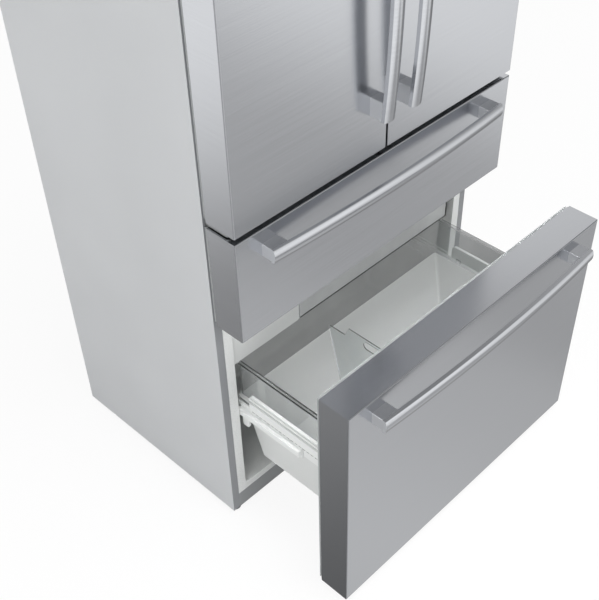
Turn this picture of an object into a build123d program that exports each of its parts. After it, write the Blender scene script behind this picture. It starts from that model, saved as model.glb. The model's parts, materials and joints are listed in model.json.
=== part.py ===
from build123d import *
import os

os.makedirs("parts", exist_ok=True)

# French door refrigerator, in millimetres. The front faces -Y, +X is to the right when facing it,
# and the floor is z = 0. At rest the freezer drawer stands open and everything else is shut.

# Case
case_width = 905
case_depth = 606
case_height = 1782
floor_gap = 18  # underside of the case above the floor
sheet = 1.2  # painted steel of the case and doors
seam = 0.4  # gap between neighbouring sheets
flange = 22  # front flange of the side and top panels
base_rail_height = 52
base_plate = 2
side_wall = 48  # outside of the case to the inside of a liner
top_wall = 55
back_wall = 60
floor_wall = 75
divider = 50  # wall between two compartments
cross_rail_height = 34
liner_wall = 2.5
liner_corner = 14  # inside radius of the compartments

# Doors and drawer fronts
seal_gap = 11  # case front to the back of a closed front
door_thickness = 83
door_split = 6
front_clear = 27.5  # underside of the freezer front above the floor
freezer_front_height = 652
middle_front_height = 265
drawer_gap = 11
hinge_gap = 14.5  # between the middle front and the doors
door_drop = 4  # door top below the case top
front_edge = 2.5  # radius of the folded front edges
cap_height = 22  # plastic end cap inside each end of a door
panel_wall = 2.5  # white inner panel of a front
panel_inset = 2
gasket_width = 14
gasket_inset = 4
gasket_clear = 0.5

# Drawer travel
open_by = 307  # the freezer drawer's opening at rest
drawer_travel = 400

# Handles
handle_reach = 42  # face of the front to the crest of the bar at its ends
handle_bow = 14
bar_height = 33
bar_depth = 14
bar_round = 8  # radius of the bar's front edges
bar_back_round = 1.5
post_width = 46
drawer_handle_length = 766
handle_drop = 34  # top of the bar below the top of a drawer front
door_handle_length = 600
door_handle_lift = 100  # lower end of the bar above the door's bottom edge
door_handle_inset = 24  # door's inner edge to the bar

# Hinges
hinge_inset = 12  # pin axis in from the side of the door
hinge_back = 45  # pin axis in front of the back of the door
pin_radius = 6
pin_reach = 17  # length of the pin inside the door's end cap
pin_clear = 0.06
hinge_plate = 4
hinge_width = 40
hinge_edge = 6  # side of the door to the hinge plates
hinge_lift = 3  # middle front to the lower hinge plate
hinge_collar = 9  # shoulder round the lower pin that the door stands on
tab_thickness = 3
hinge_seat = 90  # length of the top hinge on the case
hinge_cover_height = 29
cover_wall = 2.5
screw_head = 4.5
screw_head_height = 2.5
screw_shank = 2.2
screw_length = 14

# Mullion flap on the left door
flap_width = 60
flap_thickness = 16
flap_axis_inset = 27  # hinge axis in from the left door's inner edge
flap_heel = 8  # flap edge behind its own axis
flap_pin = 4
flap_pin_length = 10
flap_lug = 10

# Fridge compartment
dyke_width = 26
dyke_depth = 54
dyke_outer_inset = 60
dyke_inner_inset = 46
dyke_clear = 16  # dyke ends to the compartment floor and roof
door_bin_depth = 84
door_bin_height = 110
door_bin_wall = 3
door_bin_shares = (0.053, 0.344, 0.642)  # places of the bins as shares of the door's height
lug_size = 10
lug_reach = 4  # how far a lug stands out under the bin it carries
shelf_setback = 108
shelf_depth = 418
shelf_shares = (0.27, 0.508, 0.746)  # places of the shelves as shares of the fridge's height
shelf_rim = 12
shelf_glass_thickness = 4
shelf_side_clear = 2
shelf_bead = 4  # overlap of the rim under the glass
ledge_width = 14
ledge_height = 8
crisper_setback = 95
crisper_depth = 410
crisper_height = 176
crisper_clear = 4
crisper_lip = 12
bin_wall = 3
bin_corner = 8
duct_width = 240
duct_depth = 15
lamp_size = (300, 60, 6)
lamp_setback = 120

# Drawer slides: the fixed rail, the middle slide and the runner of one side
freezer_slide_height = 383  # parting line of slide and runner
middle_slide_height = 858
slide_length = 400
freezer_runner_length = 290
runner_height = 49.5
runner_wall = 8
runner_gap = 12  # runner to the liner
runner_ledge = 10
runner_grooves = ((24, 10), (41, 6))  # height over the parting line and width
runner_groove_depth = 5
runner_end_round = 12  # rear upper corner
runner_beam = (9, 38)  # bar under the ledge: thickness and height
ledge_thickness = 7
slide_height = 38
slide_share = 0.62  # travel of the middle slide as a share of the drawer's
slide_hook = (180, 22, 32)  # stop under the slide: setback, width, drop
parting_gap = 2.5  # slide to runner
slide_wall = 6
slide_gap = 13  # slide web to the liner
slide_rib = 16  # height of the rib that runs in the rail
rail_wall = 3
rail_height = 46
rail_lip = 4
rail_lip_depth = 7
rail_bracket_drop = 77
run_clear = 0.5
tongue_width = 3
tongue_height = 7.5
slot_pitch = 36

# Drawer tubs
tub_clear = 1
tub_wall = 2.5
tub_rim = 3
tub_corner = 10
freezer_tub_low = 190
freezer_tub_length = 332
freezer_tub_taper = 13  # how far the sides draw in down to the bottom
freezer_tub_back_taper = 48
middle_tub_low = 722
middle_tub_length = 478
middle_tub_taper = 8
collar_height = 112
collar_wall = 3
collar_rim = 8
collar_clip = (14, 3, 12)
divider_x = -60
divider_rise = 12  # top of the divider over the tub's rim
divider_grip = (54, 41)  # raised middle of the divider: start from its ends, height over the rim

# Freezer upper level: ice bin at the left, clear tray at the right
tray_setback = 12
tray_depth = 438
tray_low = 513
tray_rim_height = 72  # rim underside above the tray's bottom
tray_front_top = 648
tray_parting = -178.5
tray_front_gap = 3
tray_front_wall = 3
tray_side_clear = 18.5
ice_front_clear = 6  # left edge of the ice bin's front to the liner
tray_body_inset = 12
tray_corner = 6
beam_wall = 5
beam_flange = 25

# Machine room and cooling
hump_foot = 300  # where the freezer floor starts to rise, behind the case front
hump_head = 352
hump_top = 310
machine_depth = 215
machine_height = 247
foot_radius = 16
foot_height = 8
foot_stem = 5
foot_inset = 24
roller_radius = 20
roller_width = 18
axle_radius = 4
roller_inset = 60
roller_setback = 45
cheek = 3
cheek_gap = 1
fan_radius = 68
fan_hub = 18
fan_shaft = 3
fan_blades = 5
cold_fan_radius = 50
compressor_radius = 75
compressor_height = 160
evaporator_setback = 478  # front of the evaporator cover behind the case front
gland_radius = 9
gland_flange = 3

# Places worked out from the sizes above
half = case_width / 2
inside = half - side_wall
case_top = floor_gap + case_height
front_reach = open_by + seal_gap + door_thickness + handle_reach + handle_bow
y_case = (front_reach - case_depth) / 2  # puts the origin under the middle of the whole object
y_back = y_case + case_depth
y_door_back = y_case - seal_gap
y_door_front = y_door_back - door_thickness
y_inner = y_back - back_wall
freezer_front_low = front_clear
freezer_front_top = freezer_front_low + freezer_front_height
middle_front_low = freezer_front_top + drawer_gap
middle_front_top = middle_front_low + middle_front_height
door_low = middle_front_top + hinge_gap
door_top = case_top - door_drop
lower_divider = (freezer_front_top + middle_front_low) / 2
upper_divider = (middle_front_top + door_low) / 2
freezer_floor = floor_gap + floor_wall
freezer_roof = lower_divider - divider / 2
middle_floor = lower_divider + divider / 2
middle_roof = upper_divider - divider / 2
fridge_floor = upper_divider + divider / 2
fridge_roof = case_top - top_wall
hinge_x = half - hinge_inset
hinge_y = y_door_back - hinge_back
hinge_outer = half - hinge_edge
hinge_inner = hinge_outer - hinge_width
hinge_tip = hinge_y - pin_radius - hinge_edge
lower_plate_low = middle_front_top + hinge_lift
lower_plate_top = lower_plate_low + hinge_plate
tab_low = middle_front_top - hinge_lift
tab_top = door_low + hinge_lift
door_bin_levels = [share * (door_top - door_low) for share in door_bin_shares]
shelf_levels = [share * (fridge_roof - fridge_floor) for share in shelf_shares]
dyke_low = fridge_floor + dyke_clear
dyke_top = fridge_roof - dyke_clear
machine_top = floor_gap + base_plate + machine_height
machine_front = y_back - machine_depth
lip_edge = half - flange
roller_x = half - roller_inset
roller_y = y_back - roller_setback
flap_x = -door_split / 2 - flap_axis_inset
flap_y = y_case + gasket_clear + flap_thickness / 2
y_freezer = y_case - open_by  # the case front as the open freezer drawer carries it along
y_freezer_slide = y_case - open_by * slide_share


def save(piece, name):
    """Name a finished piece and write it to its own file."""
    piece.label = name
    export_step(piece, f"parts/{name}.step")


def block(x_span, y_span, z_span, mode=Mode.ADD):
    """Add a box to the piece being built, given by its limits."""
    spans = [sorted(span) for span in (x_span, y_span, z_span)]
    middle = [(low + high) / 2 for low, high in spans]
    size = [high - low for low, high in spans]
    with Locations(tuple(middle)):
        return Box(*size, mode=mode)


def rod(start, radius, direction, length, mode=Mode.ADD):
    """Add a round bar that starts at a point and runs along a direction."""
    with Locations(Plane(origin=start, z_dir=direction)):
        return Cylinder(radius, length, align=(Align.CENTER, Align.CENTER, Align.MIN), mode=mode)


def inner_edges(piece):
    """Edges of a compartment block that lie behind the case front."""
    return piece.edges().filter_by(lambda edge: edge.center().Y > y_case + liner_corner)


# Seats of the hinge screws: a point on the case, the way into the case and the plate held there
screw_seats = []
for side in (-1, 1):
    for share in (0.28, 0.72):
        column = side * (hinge_outer - hinge_width * share)
        for row in (0.4, 0.8):
            seat = Vector(column, y_case + hinge_seat * row, case_top)
            screw_seats.append((seat, Vector(0, 0, -1), hinge_plate))
        tab_height = tab_top - screw_head - run_clear
        screw_seats.append((Vector(column, y_case, tab_height), Vector(0, 1, 0), tab_thickness))


def drill_screws():
    """Cut the holes of the hinge screws out of the piece being built."""
    for seat, inward, plate in screw_seats:
        rod(seat - inward * (plate + 1), screw_shank, inward, plate + 1 + screw_length, Mode.SUBTRACT)


# Side, top and rear panels of the case
with BuildPart() as case_panels:
    for side in (-1, 1):
        block((side * half, side * (half - sheet)), (y_case, y_back), (floor_gap, case_top))
        block((side * half, side * lip_edge), (y_case, y_case + sheet), (floor_gap, case_top))
    top_half = half - sheet - seam
    block((-top_half, top_half), (y_case + sheet + seam, y_back), (case_top - sheet, case_top))
    flange_half = lip_edge - seam
    block((-flange_half, flange_half), (y_case, y_case + sheet), (case_top - flange, case_top))
    block((-flange_half, flange_half), (y_case, y_case + flange), (case_top - sheet, case_top))
    bends = case_panels.edges().filter_by(Axis.Z).group_by(Axis.Y)[0]
    fillet(bends.filter_by(lambda edge: abs(edge.center().X) > half - sheet), sheet * 0.8)
    drill_screws()
save(case_panels.part, "case_panels")

panel_half = half - sheet - seam
rear_span = (y_back - sheet, y_back)
with BuildPart() as rear_panel:
    block((-panel_half, panel_half), rear_span, (machine_top + seam, case_top - sheet - seam))
save(rear_panel.part, "rear_panel")

# Base frame: front rail, bottom plate and the cheeks that hold the rear rollers on their axles
base_top = floor_gap + base_plate
cheek_top = roller_radius + axle_radius + cheek * 2
with BuildPart() as base_frame:
    rail_top = floor_gap + base_rail_height
    block((-lip_edge + seam, lip_edge - seam), (y_case, y_case + base_plate), (floor_gap, rail_top))
    block((-panel_half, panel_half), (y_case + sheet + seam, y_back - sheet - seam), (floor_gap, base_top))
    for side in (-1, 1):
        middle = side * roller_x
        slot_half = roller_width / 2 + cheek_gap
        block(
            (middle - slot_half, middle + slot_half),
            (roller_y - roller_radius - cheek, roller_y + roller_radius + cheek),
            (floor_gap - 1, base_top + 1),
            mode=Mode.SUBTRACT,
        )
        for edge in (-1, 1):
            face = middle + edge * slot_half
            block(
                (face, face + edge * cheek),
                (roller_y - axle_radius * 3, roller_y + axle_radius * 3),
                (roller_radius - axle_radius * 2, cheek_top),
            )
        axle_end = (middle - slot_half - cheek, roller_y, roller_radius)
        rod(axle_end, axle_radius, (1, 0, 0), 2 * (slot_half + cheek))
        foot = (side * (half - foot_inset), y_case + foot_inset, 0)
        rod(foot, foot_stem, (0, 0, 1), base_top + 1, Mode.SUBTRACT)
save(base_frame.part, "base_frame")

with BuildPart() as rear_rollers:
    for side in (-1, 1):
        start = (side * roller_x - roller_width / 2, roller_y, roller_radius)
        rod(start, roller_radius, (1, 0, 0), roller_width)
    fillet(rear_rollers.edges(), 2)
    for side in (-1, 1):
        start = (side * roller_x - roller_width / 2, roller_y, roller_radius)
        rod(start, axle_radius + pin_clear, (1, 0, 0), roller_width, Mode.SUBTRACT)
save(rear_rollers.part, "rear_rollers")

with BuildPart() as levelling_feet:
    for side in (-1, 1):
        foot = (side * (half - foot_inset), y_case + foot_inset, 0)
        rod(foot, foot_radius, (0, 0, 1), foot_height)
        rod(foot, foot_stem, (0, 0, 1), base_top + foot_height)
    circles = levelling_feet.edges().filter_by(GeomType.CIRCLE)
    rims = circles.filter_by(lambda edge: edge.radius > foot_stem + 1)
    chamfer(rims.group_by(Axis.Z)[-1], 2)
save(levelling_feet.part, "levelling_feet")

# Compartment liners, each with a lip on the case front
lip_drop = (divider - cross_rail_height) / 2


def box_liner(floor, roof, lip_low, lip_top):
    """White moulded liner of a plain box compartment."""
    with BuildPart() as cavity:
        block((-inside, inside), (y_case - 1, y_inner), (floor, roof))
        fillet(inner_edges(cavity), liner_corner)
    with BuildPart() as liner:
        shell = inside + liner_wall
        block((-shell, shell), (y_case, y_inner + liner_wall), (floor - liner_wall, roof + liner_wall))
        fillet(inner_edges(liner), liner_corner + liner_wall)
        lip = lip_edge - seam
        block((-lip, lip), (y_case, y_case + liner_wall), (lip_low, lip_top))
        add(cavity.part, mode=Mode.SUBTRACT)
    return liner.part


middle_liner = box_liner(middle_floor, middle_roof, middle_floor - lip_drop, middle_roof + lip_drop)
save(middle_liner, "middle_liner")

fridge_box = box_liner(fridge_floor, fridge_roof, fridge_floor - lip_drop, case_top - flange - seam)
with BuildPart() as fridge_liner:
    add(fridge_box)
    for level in shelf_levels:
        seat = fridge_floor + level - shelf_rim
        for side in (-1, 1):
            block(
                (side * (inside - ledge_width), side * (inside + liner_wall / 2)),
                (y_case + shelf_setback, y_case + shelf_setback + shelf_depth),
                (seat - ledge_height, seat),
            )
save(fridge_liner.part, "fridge_liner")

hump_outline = (
    (y_case - 1, freezer_floor),
    (y_case + hump_foot, freezer_floor),
    (y_case + hump_head, hump_top),
    (y_inner, hump_top),
    (y_inner, freezer_roof),
    (y_case - 1, freezer_roof),
)
with BuildPart() as freezer_cavity:
    with BuildSketch(Plane.YZ.offset(-inside)):
        with BuildLine():
            Polyline(*hump_outline, close=True)
        make_face()
    extrude(amount=2 * inside)
    fillet(inner_edges(freezer_cavity), liner_corner)
with BuildPart() as freezer_shell:
    with BuildSketch(Plane.YZ.offset(-inside - liner_wall)):
        with BuildLine():
            Polyline(*hump_outline, close=True)
        make_face()
        offset(amount=liner_wall, kind=Kind.INTERSECTION)
    extrude(amount=2 * (inside + liner_wall))
    block((-half, half), (y_case - case_depth, y_case), (0, case_top), mode=Mode.SUBTRACT)

tray_rim_low = tray_low + tray_rim_height
beam_top = tray_rim_low - run_clear
with BuildPart() as freezer_liner:
    add(freezer_shell.part)
    block(
        (-lip_edge + seam, lip_edge - seam),
        (y_case, y_case + liner_wall),
        (floor_gap + base_rail_height + seam, freezer_roof + lip_drop),
    )
    add(freezer_cavity.part, mode=Mode.SUBTRACT)
    tray_run = (y_case + tray_setback + tray_front_wall + run_clear, y_case + tray_setback + tray_depth)
    for side in (-1, 1):
        block(
            (side * (inside - ledge_width - 6), side * (inside + liner_wall / 2)),
            tray_run,
            (beam_top - ledge_height, beam_top),
        )
    web = (tray_parting - beam_wall / 2, tray_parting + beam_wall / 2)
    block(web, tray_run, (beam_top - 1, freezer_roof + 1))
    foot_span = (tray_parting - beam_flange / 2, tray_parting + beam_flange / 2)
    block(foot_span, tray_run, (beam_top - 4, beam_top))
save(freezer_liner.part, "freezer_liner")

# Steel rails across the case front, one on each wall between compartments
with BuildPart() as cross_rails:
    for height in (lower_divider, upper_divider):
        edge = cross_rail_height / 2 - seam
        rail_span = (-lip_edge + seam, lip_edge - seam)
        block(rail_span, (y_case, y_case + liner_wall), (height - edge, height + edge))
    drill_screws()
save(cross_rails.part, "cross_rails")

# Door hinges on the case top and in the gap over the middle drawer, with their pins
with BuildPart() as door_hinges:
    for side in (-1, 1):
        width = (side * hinge_inner, side * hinge_outer)
        block(width, (hinge_tip, y_case + hinge_seat), (case_top, case_top + hinge_plate))
        block(width, (hinge_tip, y_case), (lower_plate_low, lower_plate_top))
        block(width, (y_case - tab_thickness, y_case), (tab_low, tab_top))
    corners = door_hinges.edges().filter_by(Axis.Z).group_by(Axis.Y)[0]
    fillet(corners, pin_radius)
    for side in (-1, 1):
        pin = side * hinge_x
        upper_pin = hinge_plate + door_drop + pin_reach
        rod((pin, hinge_y, case_top + hinge_plate), pin_radius, (0, 0, -1), upper_pin)
        rod((pin, hinge_y, lower_plate_low), pin_radius, (0, 0, 1), door_low - lower_plate_low + pin_reach)
        shoulder = door_low - lower_plate_top - run_clear
        rod((pin, hinge_y, lower_plate_top), hinge_collar, (0, 0, 1), shoulder)
    drill_screws()
save(door_hinges.part, "door_hinges")

with BuildPart() as hinge_screws:
    for seat, inward, plate in screw_seats:
        head = seat - inward * plate
        rod(head, screw_head, inward * -1, screw_head_height)
        rod(head, screw_shank, inward, plate + screw_length)
save(hinge_screws.part, "hinge_screws")

with BuildPart() as hinge_covers:
    cover_x = (half - panel_inset, half - panel_inset - hinge_width - hinge_inset * 2)
    cover_y = (hinge_tip - 6, y_case + hinge_seat + 12)
    for side in (-1, 1):
        block((side * cover_x[0], side * cover_x[1]), cover_y, (case_top, case_top + hinge_cover_height))
    fillet(hinge_covers.edges().filter_by(Axis.Z), 8)
    fillet(hinge_covers.edges().group_by(Axis.Z)[-1], 5)
    for side in (-1, 1):
        block(
            (side * (cover_x[0] - cover_wall), side * (cover_x[1] + cover_wall)),
            (cover_y[0] + cover_wall, cover_y[1] - cover_wall),
            (case_top - 1, case_top + hinge_cover_height - cover_wall * 2),
            mode=Mode.SUBTRACT,
        )
save(hinge_covers.part, "hinge_covers")

# Foam between the case panels and the liners
with BuildPart() as cabinet_foam:
    block((-panel_half, panel_half), (y_case + liner_wall, y_back - sheet), (base_top, case_top - sheet))
    for floor, roof in ((middle_floor, middle_roof), (fridge_floor, fridge_roof)):
        shell = inside + liner_wall
        hollow_z = (floor - liner_wall, roof + liner_wall)
        block((-shell, shell), (y_case, y_inner + liner_wall), hollow_z, Mode.SUBTRACT)
    add(freezer_shell.part, mode=Mode.SUBTRACT)
    block((-half, half), (machine_front, y_back), (0, machine_top), mode=Mode.SUBTRACT)
    for side in (-1, 1):
        foot = (side * (half - foot_inset), y_case + foot_inset, base_top)
        rod(foot, foot_stem + 1, (0, 0, 1), foot_height * 2, Mode.SUBTRACT)
    drill_screws()
save(cabinet_foam.part, "cabinet_foam")


# Doors
def gasket_ring(x_span, z_span, y_seat):
    """Soft seal on the back of a front, a ring that stops just short of the case."""
    thickness = seal_gap - panel_wall - gasket_clear
    with BuildPart() as gasket:
        block(
            (x_span[0] + gasket_inset, x_span[1] - gasket_inset),
            (y_seat, y_seat + thickness),
            (z_span[0] + gasket_inset, z_span[1] - gasket_inset),
        )
        inner = gasket_inset + gasket_width
        block(
            (x_span[0] + inner, x_span[1] - inner),
            (y_seat - 1, y_seat + thickness + 1),
            (z_span[0] + inner, z_span[1] - inner),
            mode=Mode.SUBTRACT,
        )
        fillet(gasket.faces().sort_by(Axis.Y)[-1].edges(), gasket_width / 4)
    return gasket.part


def handle(foot, along, length):
    """Bowed bar on two square posts; foot is the middle of the bar's line on the face of the front."""
    outward = Vector(0, -1, 0)
    along = Vector(*along)
    across = along.cross(outward)
    face = Plane(origin=foot, x_dir=along, z_dir=outward)
    half_bar = length / 2
    with BuildPart() as bar:
        with BuildLine(Plane(origin=foot, x_dir=along, z_dir=across)) as crest:
            ThreePointArc(
                (-half_bar, handle_reach), (0, handle_reach + handle_bow), (half_bar, handle_reach)
            )
        path = crest.line
        with BuildSketch(Plane(origin=path @ 0, x_dir=across, z_dir=path % 0)) as section:
            with Locations((0, bar_depth / 2)):
                Rectangle(bar_height, bar_depth)
            fillet(section.vertices().group_by(Axis.Y)[0], bar_round)
            fillet(section.vertices().group_by(Axis.Y)[-1], bar_back_round)
        sweep(path=path)
        with BuildSketch(face):
            with Locations((-half_bar + post_width / 2, 0), (half_bar - post_width / 2, 0)):
                Rectangle(post_width - 1, bar_height - 1)
        extrude(amount=handle_reach - bar_round - 1)
    return bar.part


bin_inner_depth = door_bin_depth - 2 * door_bin_wall
dyke_back = y_door_back + panel_wall + dyke_depth
for side, word in ((-1, "left"), (1, "right")):
    outer, inner = side * half, side * door_split / 2
    x_span = sorted((outer, inner))
    z_span = (door_low, door_top)

    with BuildPart() as door_skin:
        block(x_span, (y_door_front, y_door_back), z_span)
        front_corners = door_skin.edges().filter_by(Axis.Z).group_by(Axis.Y)[0]
        fillet(front_corners, front_edge)
        block(
            (x_span[0] + sheet, x_span[1] - sheet),
            (y_door_front + sheet, y_door_back + 1),
            z_span,
            mode=Mode.SUBTRACT,
        )
    save(door_skin.part, f"{word}_door_skin")

    with BuildPart() as door_caps:
        for low in (door_low, door_top - cap_height):
            block(
                (x_span[0] + sheet, x_span[1] - sheet),
                (y_door_front + sheet, y_door_back),
                (low, low + cap_height),
            )
        pin = side * hinge_x
        bore = pin_radius + pin_clear
        rod((pin, hinge_y, door_low - 1), bore, (0, 0, 1), pin_reach + 2, Mode.SUBTRACT)
        rod((pin, hinge_y, door_top + 1), bore, (0, 0, -1), pin_reach + 2, Mode.SUBTRACT)
    save(door_caps.part, f"{word}_door_caps")

    panel_y = (y_door_back, y_door_back + panel_wall)
    dykes = (
        (side * (half - dyke_outer_inset), side * (half - dyke_outer_inset - dyke_width)),
        (inner + side * dyke_inner_inset, inner + side * (dyke_inner_inset + dyke_width)),
    )
    bin_x = sorted((dykes[0][1], dykes[1][1]))
    with BuildPart() as door_liner:
        for dyke in dykes:
            block(dyke, (y_door_back, dyke_back), (dyke_low, dyke_top))
        fillet(door_liner.edges().filter_by(Axis.Z).group_by(Axis.Y)[-1], dyke_width / 4)
        panel_x = (x_span[0] + panel_inset, x_span[1] - panel_inset)
        block(panel_x, panel_y, (door_low + panel_inset, door_top - panel_inset))
        for level in door_bin_levels:
            seat = door_low + level
            for end, turn in zip(bin_x, (1, -1)):
                block(
                    (end - turn, end + turn * lug_reach),
                    (panel_y[1], panel_y[1] + door_bin_depth / 2),
                    (seat - lug_size, seat),
                )
        if side < 0:
            for low in (dyke_low, dyke_top - flap_lug):
                block(
                    (flap_x - flap_heel, flap_x + flap_heel),
                    (y_door_back, flap_y + flap_thickness / 2),
                    (low, low + flap_lug),
                )
            bore = flap_pin + pin_clear
            rod((flap_x, flap_y, door_low), bore, (0, 0, 1), door_top - door_low, Mode.SUBTRACT)
    save(door_liner.part, f"{word}_door_liner")

    save(gasket_ring(x_span, z_span, panel_y[1]), f"{word}_door_gasket")

    bar_line = inner + side * (door_handle_inset + bar_height / 2)
    bar_middle = door_low + door_handle_lift + door_handle_length / 2
    save(handle((bar_line, y_door_front, bar_middle), (0, 0, 1), door_handle_length), f"{word}_door_handle")

    with BuildPart() as door_bins:
        for level in door_bin_levels:
            seat = door_low + level
            block(
                (bin_x[0] + run_clear, bin_x[1] - run_clear),
                (panel_y[1], panel_y[1] + door_bin_depth),
                (seat, seat + door_bin_height),
            )
        fillet(door_bins.edges().filter_by(Axis.Z).group_by(Axis.Y)[-1], bin_corner)
        for level in door_bin_levels:
            seat = door_low + level
            block(
                (bin_x[0] + run_clear + door_bin_wall, bin_x[1] - run_clear - door_bin_wall),
                (panel_y[1] + door_bin_wall, panel_y[1] + door_bin_wall + bin_inner_depth),
                (seat + door_bin_wall, seat + door_bin_height + 1),
                mode=Mode.SUBTRACT,
            )
    save(door_bins.part, f"{word}_door_bins")

# Mullion flap that closes the slit between the doors, shown folded back against the left door
flap_low = dyke_low + flap_lug + run_clear
flap_top = dyke_top - flap_lug - run_clear
with BuildPart() as mullion_flap:
    block(
        (flap_x - flap_thickness / 2, flap_x + flap_thickness / 2),
        (flap_y - flap_heel, flap_y - flap_heel + flap_width),
        (flap_low, flap_top),
    )
    fillet(mullion_flap.edges().filter_by(Axis.Z), flap_thickness / 4)
    rod((flap_x, flap_y, flap_low), flap_pin, (0, 0, -1), flap_pin_length)
    rod((flap_x, flap_y, flap_top), flap_pin, (0, 0, 1), flap_pin_length)
save(mullion_flap.part, "mullion_flap")


# Drawer fronts
def drawer_front(word, low, top, y_ref):
    """Steel pan, inner panel, seal and handle of a drawer front whose case front would be at y_ref."""
    back = y_ref - seal_gap
    face = back - door_thickness
    with BuildPart() as skin:
        block((-half, half), (face, back), (low, top))
        fillet(skin.edges().group_by(Axis.Y)[0], front_edge)
        pan_z = (low + sheet, top - sheet)
        block((-half + sheet, half - sheet), (face + sheet, back + 1), pan_z, mode=Mode.SUBTRACT)
    save(skin.part, f"{word}_front_skin")
    with BuildPart() as panel:
        panel_z = (low + panel_inset, top - panel_inset)
        block((-half + panel_inset, half - panel_inset), (back, back + panel_wall), panel_z)
        fillet(panel.edges().filter_by(Axis.Y), front_edge)
    save(panel.part, f"{word}_front_panel")
    save(gasket_ring((-half, half), (low, top), back + panel_wall), f"{word}_gasket")
    bar_line = top - handle_drop - bar_height / 2
    save(handle((0, face, bar_line), (1, 0, 0), drawer_handle_length), f"{word}_handle")


drawer_front("middle", middle_front_low, middle_front_top, y_case)
drawer_front("freezer", freezer_front_low, freezer_front_top, y_freezer)


# Telescopic slides
def profile_pair(points, y_span):
    """Extrude a section, given from the liner inwards and from the parting line up, on both sides."""
    for side in (-1, 1):
        with BuildSketch(Plane.XZ.offset(-y_span[0])) as section:
            with BuildLine():
                Polyline(*[(side * (inside - depth), height) for depth, height in points], close=True)
            make_face()
        extrude(section.sketch, amount=y_span[0] - y_span[1])


def rail_points(line):
    """Section of the fixed rail: a plate on the liner with two lips round the slide's rib."""
    rib_low = line - parting_gap - slide_height / 2 - slide_rib / 2
    rib_top = rib_low + slide_rib
    tip = rail_wall + rail_lip_depth
    low = rib_low - run_clear - rail_lip
    top = rib_top + run_clear + rail_lip
    edge = (rail_height - (top - low)) / 2
    return (
        (0, low - edge),
        (rail_wall, low - edge),
        (rail_wall, low),
        (tip, low),
        (tip, low + rail_lip),
        (rail_wall, low + rail_lip),
        (rail_wall, top - rail_lip),
        (tip, top - rail_lip),
        (tip, top),
        (rail_wall, top),
        (rail_wall, top + edge),
        (0, top + edge),
    )


def slide_points(line):
    """Section of the middle slide: a web, a rib for the rail and a tongue for the runner."""
    low = line - parting_gap - slide_height
    top = line - parting_gap
    rib_low = low + slide_height / 2 - slide_rib / 2
    web = slide_gap + slide_wall
    tongue = slide_gap + (slide_wall - tongue_width) / 2
    rib_tip = rail_wall + run_clear
    return (
        (web, low),
        (slide_gap, low),
        (slide_gap, rib_low),
        (rib_tip, rib_low),
        (rib_tip, rib_low + slide_rib),
        (slide_gap, rib_low + slide_rib),
        (slide_gap, top),
        (tongue, top),
        (tongue, top + tongue_height),
        (tongue + tongue_width, top + tongue_height),
        (tongue + tongue_width, top),
        (web, top),
    )


def runner_points(line):
    """Section of the runner: a wall with a groove for the tongue, a ledge for the tub and a bar below."""
    tongue = slide_gap + (slide_wall - tongue_width) / 2
    groove_top = line - parting_gap + tongue_height + run_clear
    wall = runner_gap + runner_wall
    beam = slide_gap + slide_wall + 2 * run_clear
    beam_low = line - runner_beam[1]
    return (
        (runner_gap, line),
        (tongue - run_clear, line),
        (tongue - run_clear, groove_top),
        (tongue + tongue_width + run_clear, groove_top),
        (tongue + tongue_width + run_clear, line),
        (beam, line),
        (beam, beam_low),
        (beam + runner_beam[0], beam_low),
        (beam + runner_beam[0], line),
        (wall + runner_ledge, line),
        (wall + runner_ledge, line + ledge_thickness),
        (wall, line + ledge_thickness),
        (wall, line + runner_height),
        (runner_gap, line + runner_height),
    )


slide_start = -seal_gap + panel_wall + run_clear
with BuildPart() as drawer_rails:
    for line in (freezer_slide_height, middle_slide_height):
        profile_pair(rail_points(line), (y_case + rail_wall, y_case + slide_length))
        for side in (-1, 1):
            block(
                (side * inside, side * (inside - rail_wall)),
                (y_case + rail_wall, y_case + rail_wall + rail_bracket_drop / 4),
                (line - rail_bracket_drop, line - slide_height / 2),
            )
save(drawer_rails.part, "drawer_rails")

for word, line, y_ref in (
    ("middle", middle_slide_height, y_case),
    ("freezer", freezer_slide_height, y_freezer_slide),
):
    start = y_ref + slide_start
    with BuildPart() as slides:
        profile_pair(slide_points(line), (start, start + slide_length))
        slide_low = line - parting_gap - slide_height
        hook_start = start + slide_hook[0]
        for side in (-1, 1):
            block(
                (side * (inside - slide_gap), side * (inside - slide_gap - slide_wall)),
                (hook_start, hook_start + slide_hook[1]),
                (slide_low - slide_hook[2], slide_low + 1),
            )
        fillet(slides.edges().filter_by(Axis.X).group_by(Axis.Z)[0], slide_hook[1] / 3)
        slot_count = int(slide_length / slot_pitch) - 1
        for side in (-1, 1):
            web = side * (inside - slide_gap - slide_wall / 2)
            slide_top = line - parting_gap
            for low in (slide_top - slide_height * 0.86, slide_top - slide_height * 0.2):
                for step in range(slot_count):
                    middle = start + slot_pitch * (step + 1)
                    block(
                        (web - slide_wall, web + slide_wall),
                        (middle - slot_pitch / 3, middle + slot_pitch / 3),
                        (low, low + slide_height / 10),
                        mode=Mode.SUBTRACT,
                    )
    save(slides.part, f"{word}_slides")

for word, line, y_ref, length in (
    ("middle", middle_slide_height, y_case, slide_length),
    ("freezer", freezer_slide_height, y_freezer, freezer_runner_length),
):
    start = y_ref - seal_gap + panel_wall
    with BuildPart() as runners:
        profile_pair(runner_points(line), (start, start + length))
        rear_edges = runners.edges().filter_by(Axis.X).group_by(Axis.Y)[-1]
        fillet(rear_edges.group_by(Axis.Z)[-1], runner_end_round)
        for side in (-1, 1):
            outer_face = side * (inside - runner_gap)
            for lift, width in runner_grooves:
                block(
                    (outer_face + side, outer_face - side * runner_groove_depth),
                    (start - 1, start + length + 1),
                    (line + lift, line + lift + width),
                    mode=Mode.SUBTRACT,
                )
    save(runners.part, f"{word}_runners")


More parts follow.
